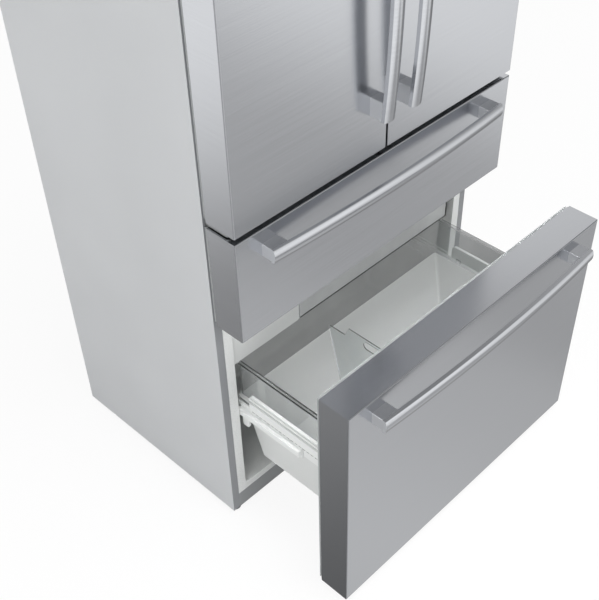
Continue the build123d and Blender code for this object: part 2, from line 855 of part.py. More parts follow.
# Tubs hung between the runners
def tub(low, line, y_ref, length, taper, back_taper):
    """Open tub with sloping sides and a rim that lies on the runners' ledges."""
    rim_low = line + ledge_thickness
    top_half = inside - runner_gap - runner_wall - runner_ledge - tub_clear
    front = y_ref + tub_clear
    back = front + length
    outline = []
    for inset in (0, tub_wall):
        rings = []
        for z, draw, rear in ((low + inset, taper, back_taper), (rim_low + tub_rim, 0, 0)):
            x_half = top_half - draw - inset
            span = (front + draw / 2 + inset, back - rear - inset)
            rings.append((z, x_half, span))
        outline.append(rings)
    with BuildPart() as hollow:
        for z, x_half, span in outline[1]:
            with BuildSketch(Plane((0, sum(span) / 2, z))):
                RectangleRounded(2 * x_half, span[1] - span[0], tub_corner - tub_wall)
        loft()
    with BuildPart() as body:
        for z, x_half, span in outline[0]:
            with BuildSketch(Plane((0, sum(span) / 2, z))):
                RectangleRounded(2 * x_half, span[1] - span[0], tub_corner)
        loft()
        rim_half = inside - runner_gap - runner_wall - tub_clear
        with BuildSketch(Plane((0, (front + back) / 2, rim_low))):
            RectangleRounded(2 * rim_half, length, tub_corner / 4)
        extrude(amount=tub_rim)
        add(hollow.part, mode=Mode.SUBTRACT)
    return body.part


middle_bin = tub(
    middle_tub_low, middle_slide_height, y_case, middle_tub_length, middle_tub_taper, middle_tub_taper
)
save(middle_bin, "middle_bin")
freezer_tub = tub(
    freezer_tub_low,
    freezer_slide_height,
    y_freezer,
    freezer_tub_length,
    freezer_tub_taper,
    freezer_tub_back_taper,
)
save(freezer_tub, "freezer_tub")

# Clear collar round the freezer tub's rim, with its clips, and the clear divider across the tub
collar_low = freezer_slide_height + ledge_thickness + tub_rim
collar_top = collar_low + collar_height
collar_half = inside - runner_gap - runner_wall - runner_ledge - tub_clear
collar_front = y_freezer + tub_clear
collar_back = collar_front + freezer_tub_length
with BuildPart() as freezer_collar:
    with BuildSketch(Plane((0, (collar_front + collar_back) / 2, collar_low))):
        RectangleRounded(2 * collar_half, freezer_tub_length, tub_corner)
        RectangleRounded(
            2 * (collar_half - collar_wall),
            freezer_tub_length - 2 * collar_wall,
            tub_corner - collar_wall,
            mode=Mode.SUBTRACT,
        )
    extrude(amount=collar_height)
    for side in (-1, 1):
        block(
            (side * (collar_half - collar_wall), side * (collar_half + collar_rim)),
            (collar_front + tub_corner, collar_back - tub_corner),
            (collar_top - collar_wall, collar_top),
        )
        for share in (0.25, 0.5, 0.75):
            middle = collar_front + freezer_tub_length * share
            block(
                (side * (collar_half - 1), side * (collar_half + collar_clip[1])),
                (middle - collar_clip[0] / 2, middle + collar_clip[0] / 2),
                (collar_low, collar_low + collar_clip[2]),
            )
    divider_span = (collar_front + collar_wall + run_clear, collar_back - collar_wall - run_clear)
    divider_low = freezer_tub_low + tub_wall + run_clear
    divider_top = collar_low + divider_rise
    grip_span = (divider_span[0] + divider_grip[0], divider_span[1] - divider_grip[0])
    grip_top = collar_low + divider_grip[1]
    with BuildSketch(Plane.YZ.offset(divider_x - collar_wall / 2)):
        with BuildLine():
            Polyline(
                (divider_span[0] + freezer_tub_taper, divider_low),
                (divider_span[1] - freezer_tub_back_taper, divider_low),
                (divider_span[1], collar_low),
                (divider_span[1], divider_top),
                (grip_span[1], divider_top),
                (grip_span[1] - divider_rise, grip_top),
                (grip_span[0] + divider_rise, grip_top),
                (grip_span[0], divider_top),
                (divider_span[0], divider_top),
                (divider_span[0], collar_low),
                close=True,
            )
        make_face()
        with Locations((sum(divider_span) / 2, collar_low + divider_grip[1] / 2)):
            SlotOverall(90, divider_grip[1] * 0.6, mode=Mode.SUBTRACT)
    extrude(amount=collar_wall)
save(freezer_collar.part, "freezer_collar")


# Upper level of the freezer
def hanging_tray(body_x, rim_x, front_x, low):
    """Open tray that hangs by its rim, with a taller front panel."""
    y_span = (y_case + tray_setback, y_case + tray_setback + tray_depth)
    with BuildPart() as tray:
        block(body_x, y_span, (low, tray_rim_low + tub_rim))
        fillet(tray.edges().filter_by(Axis.Y).group_by(Axis.Z)[0], tray_corner / 2)
        block(rim_x, (y_span[0] + tray_front_wall, y_span[1]), (tray_rim_low, tray_rim_low + tub_rim))
        block(
            (body_x[0] + bin_wall, body_x[1] - bin_wall),
            (y_span[0] + tray_front_wall, y_span[1] - bin_wall),
            (low + bin_wall, tray_rim_low + tub_rim + 1),
            mode=Mode.SUBTRACT,
        )
        with BuildSketch(Plane.XZ.offset(-y_span[0])) as front:
            with Locations((sum(front_x) / 2, (low + tray_front_top) / 2)):
                RectangleRounded(front_x[1] - front_x[0], tray_front_top - low, tray_corner)
        extrude(front.sketch, amount=-tray_front_wall)
    return tray.part


tray_edge = inside - tray_side_clear
ice_front = (ice_front_clear - inside, tray_parting - tray_front_gap / 2)
tray_front = (tray_parting + tray_front_gap / 2, tray_edge)
rim_run = beam_wall / 2 + run_clear
bin_body = (-tray_edge + tray_body_inset / 2, tray_parting - tray_body_inset - run_clear * 2)
tray_body = (tray_parting + tray_body_inset + run_clear * 2, tray_edge - tray_body_inset / 2)
rim_edge = inside - ledge_width
save(hanging_tray(bin_body, (-rim_edge, tray_parting - rim_run), ice_front, tray_low), "ice_bin")
save(hanging_tray(tray_body, (tray_parting + rim_run, rim_edge), tray_front, tray_low + 2), "freezer_tray")

ice_maker_low = tray_rim_low + tub_rim + 8
with BuildPart() as ice_maker:
    maker_y = (y_case + tray_setback + tray_depth * 0.55, y_case + tray_setback + tray_depth)
    maker_x = (bin_body[0] + 10, bin_body[1] - 10)
    block(maker_x, maker_y, (ice_maker_low, freezer_roof))
    fillet(ice_maker.edges().filter_by(Axis.Z), 6)
    mould_x = (maker_x[0] + 30, maker_x[1] - 8)
    mould_y = (maker_y[0] + 8, maker_y[1] - 60)
    block(mould_x, mould_y, (ice_maker_low - 1, ice_maker_low + 26), mode=Mode.SUBTRACT)
save(ice_maker.part, "ice_maker")

# Fridge compartment: shelves, crispers, air duct and lamp
shelf_half = inside - shelf_side_clear
shelf_y = (y_case + shelf_setback, y_case + shelf_setback + shelf_depth)
with BuildPart() as shelf_frames:
    for level in shelf_levels:
        top = fridge_floor + level
        block((-shelf_half, shelf_half), shelf_y, (top - shelf_rim, top))
        block(
            (-shelf_half + shelf_rim, shelf_half - shelf_rim),
            (shelf_y[0] + shelf_rim, shelf_y[1] - shelf_rim),
            (top - shelf_glass_thickness, top + 1),
            mode=Mode.SUBTRACT,
        )
        hole = shelf_rim + shelf_bead
        block(
            (-shelf_half + hole, shelf_half - hole),
            (shelf_y[0] + hole, shelf_y[1] - hole),
            (top - shelf_rim - 1, top),
            mode=Mode.SUBTRACT,
        )
save(shelf_frames.part, "shelf_frames")

with BuildPart() as shelf_glass:
    for level in shelf_levels:
        top = fridge_floor + level
        block(
            (-shelf_half + shelf_rim, shelf_half - shelf_rim),
            (shelf_y[0] + shelf_rim, shelf_y[1] - shelf_rim),
            (top - shelf_glass_thickness, top),
        )
save(shelf_glass.part, "shelf_glass")

crisper_y = (y_case + crisper_setback, y_case + crisper_setback + crisper_depth)
crisper_z = (fridge_floor + crisper_clear / 2, fridge_floor + crisper_height)
with BuildPart() as crispers:
    for side in (-1, 1):
        near, far = side * crisper_clear, side * (inside - crisper_clear - ledge_width)
        block((near, far), crisper_y, crisper_z)
    fillet(crispers.edges().filter_by(Axis.Z), bin_corner)
    for side in (-1, 1):
        near = side * (crisper_clear + bin_wall)
        far = side * (inside - crisper_clear - ledge_width - bin_wall)
        block(
            (near, far),
            (crisper_y[0] + bin_wall, crisper_y[1] - bin_wall),
            (crisper_z[0] + bin_wall, crisper_z[1] + 1),
            mode=Mode.SUBTRACT,
        )
        middle = side * inside / 2
        block(
            (middle - inside / 4, middle + inside / 4),
            (crisper_y[0] - crisper_lip, crisper_y[0] + 1),
            (crisper_z[1] - bin_wall * 2, crisper_z[1]),
        )
save(crispers.part, "crispers")

with BuildPart() as fridge_air_duct:
    duct_z = (fridge_floor + shelf_levels[0] + ledge_width, fridge_roof - liner_corner)
    block((-duct_width / 2, duct_width / 2), (y_inner - duct_depth, y_inner), duct_z)
    fillet(fridge_air_duct.faces().sort_by(Axis.Y)[0].edges(), 5)
    with BuildSketch(Plane.XZ.offset(-(y_inner - duct_depth))) as vents:
        with Locations((0, sum(duct_z) / 2)):
            with GridLocations(duct_width / 2, (duct_z[1] - duct_z[0]) / 6, 2, 5):
                SlotOverall(duct_width / 3, 10)
    extrude(vents.sketch, amount=-duct_depth * 0.6, mode=Mode.SUBTRACT)
save(fridge_air_duct.part, "fridge_air_duct")

with BuildPart() as fridge_lamp:
    lamp_y = y_case + lamp_setback
    block(
        (-lamp_size[0] / 2, lamp_size[0] / 2),
        (lamp_y, lamp_y + lamp_size[1]),
        (fridge_roof - lamp_size[2], fridge_roof),
    )
    fillet(fridge_lamp.faces().sort_by(Axis.Z)[0].edges(), 2)
save(fridge_lamp.part, "fridge_lamp")


# Cooling
def fan(centre, axis, radius, hub_length):
    """Bladed fan on a blind hub; centre is the open end of the hub, axis points into the hub."""
    plane = Plane(origin=centre, z_dir=axis)
    with BuildPart() as wheel:
        with BuildSketch(plane):
            Circle(fan_hub)
        extrude(amount=hub_length)
        for step in range(fan_blades):
            spoke = plane * Rot(0, 0, 360 / fan_blades * step)
            with Locations(spoke * Pos(radius / 2, 0, hub_length / 2) * Rot(32, 0, 0)):
                Box(radius - fan_hub / 2, hub_length * 1.2, 2)
        with BuildSketch(plane) as tip:
            Circle(radius)
        extrude(tip.sketch, amount=hub_length, mode=Mode.INTERSECT)
        rod(centre, fan_shaft + pin_clear, axis, hub_length - 4, Mode.SUBTRACT)
    return wheel.part


cover_y = y_case + evaporator_setback
cover_wall_y = cover_y + tub_rim
cold_fan_z = freezer_roof - cold_fan_radius - 20
cold_motor_y = cover_wall_y + 19
with BuildPart() as evaporator_cover:
    cover_z = (hump_top + liner_corner + 1, freezer_roof - 1)
    block((-inside + liner_corner, inside - liner_corner), (cover_y, cover_wall_y), cover_z)
    rod((0, cover_y - 1, cold_fan_z), cold_fan_radius + 6, (0, 1, 0), tub_rim + 2, Mode.SUBTRACT)
    with BuildSketch(Plane.XZ.offset(-cover_y)) as guard:
        with Locations((0, cold_fan_z)):
            for ring in (0.35, 0.7):
                Circle((cold_fan_radius + 6) * ring + 3)
                Circle((cold_fan_radius + 6) * ring, mode=Mode.SUBTRACT)
            Rectangle(2 * cold_fan_radius + 14, 4)
            Rectangle(4, 2 * cold_fan_radius + 14)
        with Locations((0, cover_z[0] + 40)):
            with GridLocations(90, 0, 7, 1):
                SlotOverall(70, 9)
    vent_faces = guard.sketch.faces().sort_by(Axis.Z)
    guard_face = vent_faces[-1]
    extrude(guard_face, amount=-tub_rim)
    for face in vent_faces[:-1]:
        extrude(face, amount=-tub_rim, mode=Mode.SUBTRACT)
    for turn in (90, 210, 330):
        arm = Plane(origin=(0, cover_wall_y, cold_fan_z), x_dir=(1, 0, 0), z_dir=(0, 1, 0))
        arm = arm * Rot(0, 0, turn)
        reach = cold_fan_radius + 10
        with Locations(arm * Pos(reach, 0, 11)):
            Box(6, 8, 22)
        with Locations(arm * Pos(reach / 2, 0, 20.5)):
            Box(reach, 8, 3)
    rod((0, cold_motor_y, cold_fan_z), 20, (0, 1, 0), 16)
    rod((0, cold_motor_y + 1, cold_fan_z), fan_shaft, (0, -1, 0), 15)
save(evaporator_cover.part, "evaporator_cover")
cold_fan = fan((0, cold_motor_y - 1, cold_fan_z), (0, -1, 0), cold_fan_radius, 17)
save(cold_fan, "evaporator_fan")

with BuildPart() as evaporator:
    coil_y = (cold_motor_y + 4, y_inner - 4)
    coil_z = (hump_top + 22, cold_fan_z - cold_fan_radius - 12)
    coil_half = inside * 0.7
    for share in range(7):
        height = coil_z[0] + (coil_z[1] - coil_z[0]) * (share + 0.5) / 7
        rod((-coil_half, sum(coil_y) / 2, height), 4, (1, 0, 0), 2 * coil_half)
    for step in range(25):
        x = -coil_half + 10 + step * (2 * coil_half - 20) / 24
        block((x - 0.5, x + 0.5), coil_y, coil_z)
save(evaporator.part, "evaporator")

fan_y = machine_front + machine_depth / 2
fan_z = base_top + machine_height * 0.45
shroud_x = -60
with BuildPart() as condenser_fan_motor:
    shroud = fan_radius + 18
    block((shroud_x - 3, shroud_x), (fan_y - shroud, fan_y + shroud), (base_top, fan_z + shroud))
    rod((shroud_x - 4, fan_y, fan_z), fan_radius + 5, (1, 0, 0), 5, Mode.SUBTRACT)
    motor_x = shroud_x + 16
    for turn in (90, 210, 330):
        arm = Plane(origin=(shroud_x, fan_y, fan_z), x_dir=(0, 1, 0), z_dir=(1, 0, 0))
        arm = arm * Rot(0, 0, turn)
        reach = fan_radius + 9
        with Locations(arm * Pos(reach, 0, 9)):
            Box(6, 8, 20)
        with Locations(arm * Pos(reach / 2, 0, 17.5)):
            Box(reach, 8, 3)
    rod((motor_x, fan_y, fan_z), 24, (1, 0, 0), 34)
    rod((motor_x + 1, fan_y, fan_z), fan_shaft, (-1, 0, 0), 18)
save(condenser_fan_motor.part, "condenser_fan_motor")
save(fan((motor_x - 1, fan_y, fan_z), (-1, 0, 0), fan_radius, 21), "condenser_fan")

with BuildPart() as condenser:
    fin_x = (-half + 110, shroud_x - 40)
    fin_y = (machine_front + 30, y_back - 45)
    fin_z = (base_top + 42, machine_top - 40)
    for row in range(4):
        for column in range(3):
            height = fin_z[0] + (fin_z[1] - fin_z[0]) * (row + 0.5) / 4
            depth = fin_y[0] + (fin_y[1] - fin_y[0]) * (column + 0.5) / 3
            rod((fin_x[0], depth, height), 4, (1, 0, 0), fin_x[1] - fin_x[0])
    for step in range(16):
        x = fin_x[0] + 8 + step * (fin_x[1] - fin_x[0] - 16) / 15
        block((x - 0.6, x + 0.6), fin_y, fin_z)
    for x in (fin_x[0] + 2, fin_x[1] - 2):
        block((x - 1.5, x + 1.5), fin_y, (base_top + 32, fin_z[1]))
save(condenser.part, "condenser")

with BuildPart() as drip_tray:
    tray_x = (fin_x[0] - 6, fin_x[1] + 6)
    tray_y = (fin_y[0] - 6, fin_y[1] + 6)
    block(tray_x, tray_y, (base_top, base_top + 32))
    block(
        (tray_x[0] + 2, tray_x[1] - 2),
        (tray_y[0] + 2, tray_y[1] - 2),
        (base_top + 2, base_top + 40),
        mode=Mode.SUBTRACT,
    )
    for x in (fin_x[0] + 2, fin_x[1] - 2):
        block((x - 3, x + 3), tray_y, (base_top + 1, base_top + 32))
save(drip_tray.part, "drip_tray")

with BuildPart() as compressor:
    pot_x, pot_y = half * 0.45, machine_front + machine_depth / 2
    pot_low = base_top + 22
    rod((pot_x, pot_y, pot_low), compressor_radius, (0, 0, 1), compressor_height)
    fillet(compressor.edges().group_by(Axis.Z)[-1], compressor_radius * 0.6)
    fillet(compressor.edges().group_by(Axis.Z)[0], compressor_radius * 0.3)
    block((pot_x - 95, pot_x + 95), (pot_y - 70, pot_y + 70), (pot_low - 2, pot_low + 3))
    for x in (-82, 82):
        for y in (-56, 56):
            rod((pot_x + x, pot_y + y, base_top), 10, (0, 0, 1), 20)
    rod((pot_x + 40, pot_y, pot_low + compressor_height * 0.8), 5, (1, 0, 0.4), 60)
save(compressor.part, "compressor")

gland_at = (half * 0.78, y_back, base_top + 60)
with BuildPart() as machine_cover:
    cover_z = (base_top + seam, machine_top - seam)
    block((-panel_half, panel_half), rear_span, cover_z)
    with BuildSketch(Plane.XZ.offset(-y_back)) as vents:
        with Locations((0, sum(cover_z) / 2)):
            with GridLocations(95, 24, 6, 8):
                SlotOverall(76, 8)
    extrude(vents.sketch, amount=sheet * 2, both=True, mode=Mode.SUBTRACT)
    rod((gland_at[0], y_back + 1, gland_at[2]), gland_radius, (0, -1, 0), sheet + 2, Mode.SUBTRACT)
save(machine_cover.part, "machine_cover")

with BuildPart() as cord_gland:
    rod(gland_at, gland_radius, (0, -1, 0), sheet + gland_flange)
    rod((gland_at[0], y_back - sheet, gland_at[2]), gland_radius + gland_flange, (0, -1, 0), gland_flange)
    rod(gland_at, gland_radius - gland_flange, (0, -1, 0), sheet + gland_flange, Mode.SUBTRACT)
save(cord_gland.part, "cord_gland")
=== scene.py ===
# %% [markdown]
# # A french door refrigerator
# The solids of the refrigerator come in as a fixed frame: every piece already has its size, its place
# and the body that it moves with. This lesson gives each of them its finish, adds the few pieces that
# only the eye needs and sets up a studio. The shapes could all be modelled again in Blender, but
# dressing the solids keeps what is seen and what moves the same.

# %% Load the solids
import json
import math

import bmesh
import bpy
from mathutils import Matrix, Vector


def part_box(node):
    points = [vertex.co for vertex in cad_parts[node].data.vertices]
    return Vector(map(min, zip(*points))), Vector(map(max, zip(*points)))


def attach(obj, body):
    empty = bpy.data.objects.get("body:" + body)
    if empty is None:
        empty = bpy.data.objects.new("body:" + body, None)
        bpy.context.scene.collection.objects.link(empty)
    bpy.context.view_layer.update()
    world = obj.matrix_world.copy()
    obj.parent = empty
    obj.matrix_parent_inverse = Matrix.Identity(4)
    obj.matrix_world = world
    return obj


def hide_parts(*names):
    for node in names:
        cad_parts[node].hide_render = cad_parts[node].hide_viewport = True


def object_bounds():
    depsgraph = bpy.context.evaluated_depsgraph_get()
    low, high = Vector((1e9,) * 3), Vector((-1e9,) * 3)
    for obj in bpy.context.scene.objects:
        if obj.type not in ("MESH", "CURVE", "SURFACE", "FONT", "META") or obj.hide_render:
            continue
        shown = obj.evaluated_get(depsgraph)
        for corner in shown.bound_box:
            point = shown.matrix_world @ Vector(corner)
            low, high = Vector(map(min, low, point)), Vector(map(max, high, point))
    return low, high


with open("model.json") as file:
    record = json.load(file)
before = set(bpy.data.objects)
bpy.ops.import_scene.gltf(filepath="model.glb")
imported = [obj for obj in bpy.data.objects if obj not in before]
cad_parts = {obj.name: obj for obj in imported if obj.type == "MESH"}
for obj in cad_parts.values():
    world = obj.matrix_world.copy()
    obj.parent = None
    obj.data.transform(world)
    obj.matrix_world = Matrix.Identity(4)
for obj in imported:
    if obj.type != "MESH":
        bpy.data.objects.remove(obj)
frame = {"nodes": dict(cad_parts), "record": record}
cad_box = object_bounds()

nodes = frame["nodes"]
low, high = ([round(v, 3) for v in corner] for corner in cad_box)
print(len(nodes), "solids from", low, "to", high)

# %% [markdown]
# ## Colours and nodes
# Colours are easiest to pick as screen values, but a shader mixes light, so every hex value is turned
# to linear light once, here. A material tree could be drawn by hand in the shader editor; building it
# in code needs only one helper that adds a node, sets its fields and joins its inputs.


# %% Helpers for colours and nodes
def linear(code):
    """Linear RGBA of a screen colour such as "#C6C8CA"."""
    parts = [int(code[place:place + 2], 16) / 255 for place in (1, 3, 5)]
    light = [p / 12.92 if p <= 0.04045 else ((p + 0.055) / 1.055) ** 2.4 for p in parts]
    return (*light, 1.0)


def add(tree, kind, inputs=None, **settings):
    """Add a node, set its fields, then fill its inputs with values or links."""
    made = tree.nodes.new(kind)
    for field, value in settings.items():
        setattr(made, field, value)
    for key, value in (inputs or {}).items():
        if isinstance(value, bpy.types.NodeSocket):
            tree.links.new(value, made.inputs[key])
        else:
            made.inputs[key].default_value = value
    return made


def blank(name, **sockets):
    """New material with its shader's plain sockets set, its tree and its object coordinates."""
    made = bpy.data.materials.new(name)
    made.use_nodes = True
    tree = made.node_tree
    shader = tree.nodes["Principled BSDF"]
    for socket, value in sockets.items():
        shader.inputs[socket.replace("_", " ")].default_value = value
    place = add(tree, "ShaderNodeTexCoord").outputs["Object"]
    return made, tree, shader, place


pattern_low, pattern_high = 0.3, 0.7  # most values of a noise pattern lie between these


def two_tone(tree, value, dark, light):
    """Colour that runs from dark to light with a pattern."""
    ramp = add(tree, "ShaderNodeValToRGB", {"Fac": value})
    stops = ramp.color_ramp.elements
    stops[0].color, stops[1].color = linear(dark), linear(light)
    stops[0].position, stops[1].position = pattern_low, pattern_high
    return ramp.outputs["Color"]


print("linear mid grey", [round(v, 3) for v in linear("#808080")])

# %% [markdown]
# ## Brushed stainless steel
# The fronts are thin stainless sheet, drawn through an abrasive belt, so fine scratches all run one
# way and stretch each highlight across them. An anisotropic shader could fake that, but the stretched
# noise used here also gives the eye the streaks themselves. The scratches of the real sheet are about
# 0.1 mm apart, too fine for the picture, so they are drawn 1.6 mm apart. On a level face the streaks
# run across the front too, so the pattern is turned there by the way the face looks.

# %% Brushed stainless steel
gloss_spread = 0.015  # how far the streaks move the roughness
level_from = 0.7  # a face counts as level when its normal's height is more than this


def brushed_steel(name, dark, light, rough, streak_mm=1.6, run_mm=260):
    """Metal with streaks that lie streak_mm apart and run on for about run_mm."""
    made, tree, shader, place = blank(name, Metallic=1.0)
    fine, run = 1000 / streak_mm, 1000 / run_mm
    upright = add(tree, "ShaderNodeVectorMath", {0: place, 1: (run, run, fine)}, operation="MULTIPLY")
    level = add(tree, "ShaderNodeVectorMath", {0: place, 1: (run, fine, run)}, operation="MULTIPLY")
    facing = add(tree, "ShaderNodeSeparateXYZ", {0: add(tree, "ShaderNodeNewGeometry").outputs["Normal"]})
    tilt = add(tree, "ShaderNodeMath", {0: facing.outputs["Z"]}, operation="ABSOLUTE")
    flat = add(tree, "ShaderNodeMath", {0: tilt.outputs[0], 1: level_from}, operation="GREATER_THAN")
    turns = {0: flat.outputs[0], 4: upright.outputs[0], 5: level.outputs[0]}
    grain = add(tree, "ShaderNodeMix", turns, data_type="VECTOR")
    noise = add(tree, "ShaderNodeTexNoise", {"Vector": grain.outputs[1], "Scale": 1.0, "Detail": 3.0})
    streaks = noise.outputs["Fac"]
    tree.links.new(two_tone(tree, streaks, dark, light), shader.inputs["Base Color"])
    gloss = add(tree, "ShaderNodeMapRange", {
        "Value": streaks, "From Min": pattern_low, "From Max": pattern_high,
        "To Min": rough - gloss_spread, "To Max": rough + gloss_spread,
    })
    tree.links.new(gloss.outputs[0], shader.inputs["Roughness"])
    ridge = add(tree, "ShaderNodeBump", {"Height": streaks, "Strength": 0.008, "Distance": 0.0002})
    tree.links.new(ridge.outputs[0], shader.inputs["Normal"])
    return made


# Belt-brushed sheet: a soft mirror, drawn out along the streaks.
stainless = brushed_steel("brushed_stainless_sheet", "#D0D2D6", "#D5D7DB", 0.2)
# The same sheet round a fold, painted darker and duller as painted shade, so its rounded edges show no
# bright line.
edge_shade_steel = brushed_steel("stainless_edge_painted_shade", "#A4A6AA", "#AEB0B4", 0.34, streak_mm=2.4)
# Satin bar: one clean highlight along its length.
handle_steel = brushed_steel("satin_stainless_bar", "#C8CACE", "#D0D2D6", 0.2, streak_mm=2.4)
# Post and back of a bar: no clear mirror, only light and dark.
post_steel = brushed_steel("blasted_stainless_post", "#CED0D4", "#D4D6DA", 0.5, streak_mm=2.4, run_mm=8)
# Zinc plating: grey and cloudy, with a cold gleam.
zinc = brushed_steel("zinc_plated_steel", "#A6A8A9", "#B6B8B8", 0.38, streak_mm=6, run_mm=30)
print("steel:", stainless.name, handle_steel.name, zinc.name)

# %% [markdown]
# ## Painted steel and moulded plastics
# Sprayed paint dries with a faint orange peel, and a moulded plastic takes the fine spark-eroded grain
# of its mould. Both are the same kind of surface to the eye: one colour that drifts a little, a gloss
# that breaks up and a shallow relief. So one recipe makes them all, from the grain's size in
# millimetres, and only the colours, gloss and relief differ. The grain of a real mould is a few tenths
# of a millimetre across, too fine to show, so it is drawn coarser, at 1 mm and more.

# %% Recipe for paints and plastics
drift_mm = 240  # size of the slow changes of tone
grain_share = 0.35  # how much the grain adds to them
tone_low, tone_high = 0.3, 1.05  # most values of both together lie between these
gloss_break = 0.05  # how far the grain moves the roughness


def grained(name, dark, light, rough, grain_mm, relief_mm=0.02, **sockets):
    """Paint or plastic with a grain of grain_mm that stands up by relief_mm."""
    made, tree, shader, place = blank(name, **sockets)
    noise = add(tree, "ShaderNodeTexNoise", {"Vector": place, "Scale": 1000 / grain_mm, "Detail": 2.0})
    drift = add(tree, "ShaderNodeTexNoise", {"Vector": place, "Scale": 1000 / drift_mm, "Detail": 1.0})
    grain = noise.outputs["Fac"]
    parts = {0: grain, 1: grain_share, 2: drift.outputs["Fac"]}
    both = add(tree, "ShaderNodeMath", parts, operation="MULTIPLY_ADD")
    spread = add(tree, "ShaderNodeMapRange", {
        "Value": both.outputs[0], "From Min": tone_low, "From Max": tone_high,
        "To Min": pattern_low, "To Max": pattern_high,
    })
    tree.links.new(two_tone(tree, spread.outputs[0], dark, light), shader.inputs["Base Color"])
    gloss = add(tree, "ShaderNodeMapRange", {
        "Value": grain, "From Min": pattern_low, "From Max": pattern_high,
        "To Min": rough - gloss_break, "To Max": rough + gloss_break,
    })
    tree.links.new(gloss.outputs[0], shader.inputs["Roughness"])
    height = relief_mm / 1000
    relief = add(tree, "ShaderNodeBump", {"Height": grain, "Strength": 0.25, "Distance": height})
    tree.links.new(relief.outputs[0], shader.inputs["Normal"])
    return made


print("recipe ready, with a drift of", drift_mm, "mm")

# %% [markdown]
# ## The paints and plastics themselves
# Each finish is one line: its name says what it is and how it was made, and then come its darker and
# lighter colour, its roughness and the size of its grain. A library of ready materials could be used;
# short recipes are easier to match to one picture.

# %% Paints and plastics
# Sprayed steel: satin, with a faint mottle where light grazes it.
case_paint = grained("sprayed_light_grey_steel", "#C6C8CA", "#CCCED0", 0.42, 3.0)
flange_paint = grained("sprayed_mid_grey_steel", "#898B8F", "#919396", 0.45, 3.0)
base_paint = grained("sprayed_dark_grey_steel", "#8E9092", "#96989A", 0.45, 3.0)
black_paint = grained("sprayed_black_steel", "#141416", "#1C1C1F", 0.35, 3.0)
# White mouldings: a milky gloss, brighter than the paint.
liner_white = grained("moulded_white_liner", "#E3E5E4", "#E7E9E8", 0.3, 3.0, relief_mm=0.006, IOR=1.53)
tub_white = grained("moulded_white_tub", "#DADCDB", "#E2E4E3", 0.38, 2.0, IOR=1.49)
slide_white = grained("moulded_white_slide", "#E9EBEA", "#EFF1F0", 0.34, 2.0, IOR=1.48)
# Grey and black mouldings: dull, so that they read as fittings.
# Painted shade: grey for the floors of the runners' grooves, where shade falls.
groove_shade_grey = grained("painted_groove_shade_grey", "#B2B4B5", "#BABCBD", 0.4, 2.0, IOR=1.48)
cap_grey = grained("moulded_grey_cap", "#74777A", "#7D8083", 0.45, 1.6, IOR=1.5)
fitting_black = grained("moulded_black_fitting", "#1A1A1C", "#232325", 0.5, 1.6, IOR=1.5)
# Opal: even and glossy, as the lens of a lamp is.
lamp_opal = grained("moulded_opal_lens", "#F0F0EA", "#F7F7F2", 0.25, 6.0, IOR=1.49)
# Rubbers: matt and soft.
seal_grey = grained("extruded_grey_seal", "#A8ABAC", "#B2B5B6", 0.6, 1.2, IOR=1.5)
grommet_black = grained("moulded_black_rubber", "#17171A", "#1F1F22", 0.7, 1.0, IOR=1.52)
# Foam: dry, with an open grain.
foam_cream = grained("rigid_insulating_foam", "#E0D3A8", "#EADFBA", 0.9, 4.0, relief_mm=0.6)
# Bare metals: bright but blurred, and the blasted one scatters half of its light.
fin_bright = grained("bare_aluminium_fin", "#C9CBCC", "#D3D5D6", 0.35, 5.0, Metallic=1.0)
blasted_steel = grained("bead_blasted_steel", "#C4C6CA", "#CCCED2", 0.45, 1.0, Metallic=0.5)
print("paints and plastics:", sum(m.name.startswith(("sprayed", "moulded")) for m in bpy.data.materials))

# %% [markdown]
# ## Clear plastic and glass
# Bins and trays are clear polystyrene about 3 mm thick, and the shelves are toughened glass. Both are
# real solids here, so light bends in and out of them and the edges go dark or green by themselves. A
# faint haze, stronger in moulded plastic than in glass, breaks the perfect mirror. The collar takes a
# grey tint as painted shade, for the darker inside seen through it, and the tray is frosted: a share of
# milk in them scatters light instead of letting it through.


# %% Clear plastic and glass
def clear(name, tint, light, haze, ior, swirl_mm, milk=0.0):
    """See-through material with a haze that varies over about swirl_mm."""
    made, tree, shader, place = blank(name, Transmission_Weight=1.0 - milk, IOR=ior)
    noise = add(tree, "ShaderNodeTexNoise", {"Vector": place, "Scale": 1000 / swirl_mm, "Detail": 2.0})
    swirl = noise.outputs["Fac"]
    gloss = add(tree, "ShaderNodeMapRange", {
        "Value": swirl, "From Min": pattern_low, "From Max": pattern_high,
        "To Min": haze * 0.5, "To Max": haze * 1.5,
    })
    tree.links.new(gloss.outputs[0], shader.inputs["Roughness"])
    tree.links.new(two_tone(tree, swirl, tint, light), shader.inputs["Base Color"])
    return made


# Bins and divider: nearly nothing to see but edges.
clear_plastic = clear("moulded_clear_polystyrene", "#F4F8F8", "#FCFEFE", 0.02, 1.45, 60)
# Collar of the tub: clear plastic with a light grey tint, painted shade for the inside seen through it.
shaded_clear_plastic = clear("clear_polystyrene_painted_shade", "#D8DADA", "#E0E2E2", 0.02, 1.45, 60, milk=0.08)
# Upper tray: shapes behind it show, but not clearly.
frosted_plastic = clear("moulded_frosted_polystyrene", "#E2E4E4", "#EAECEC", 0.05, 1.45, 60, milk=0.45)
# Painted reflection: the dark of the inside, painted along the edges of clear plastic.
edge_reflection_finish = clear("painted_dark_edge_reflection", "#141618", "#1C1E20", 0.1, 1.45, 60, milk=0.5)
# Shelf glass: a trace of green.
shelf_glass = clear("toughened_shelf_glass", "#EDF7F3", "#FCFEFE", 0.01, 1.5, 120)
print("clear:", clear_plastic.name, shaded_clear_plastic.name, shelf_glass.name)
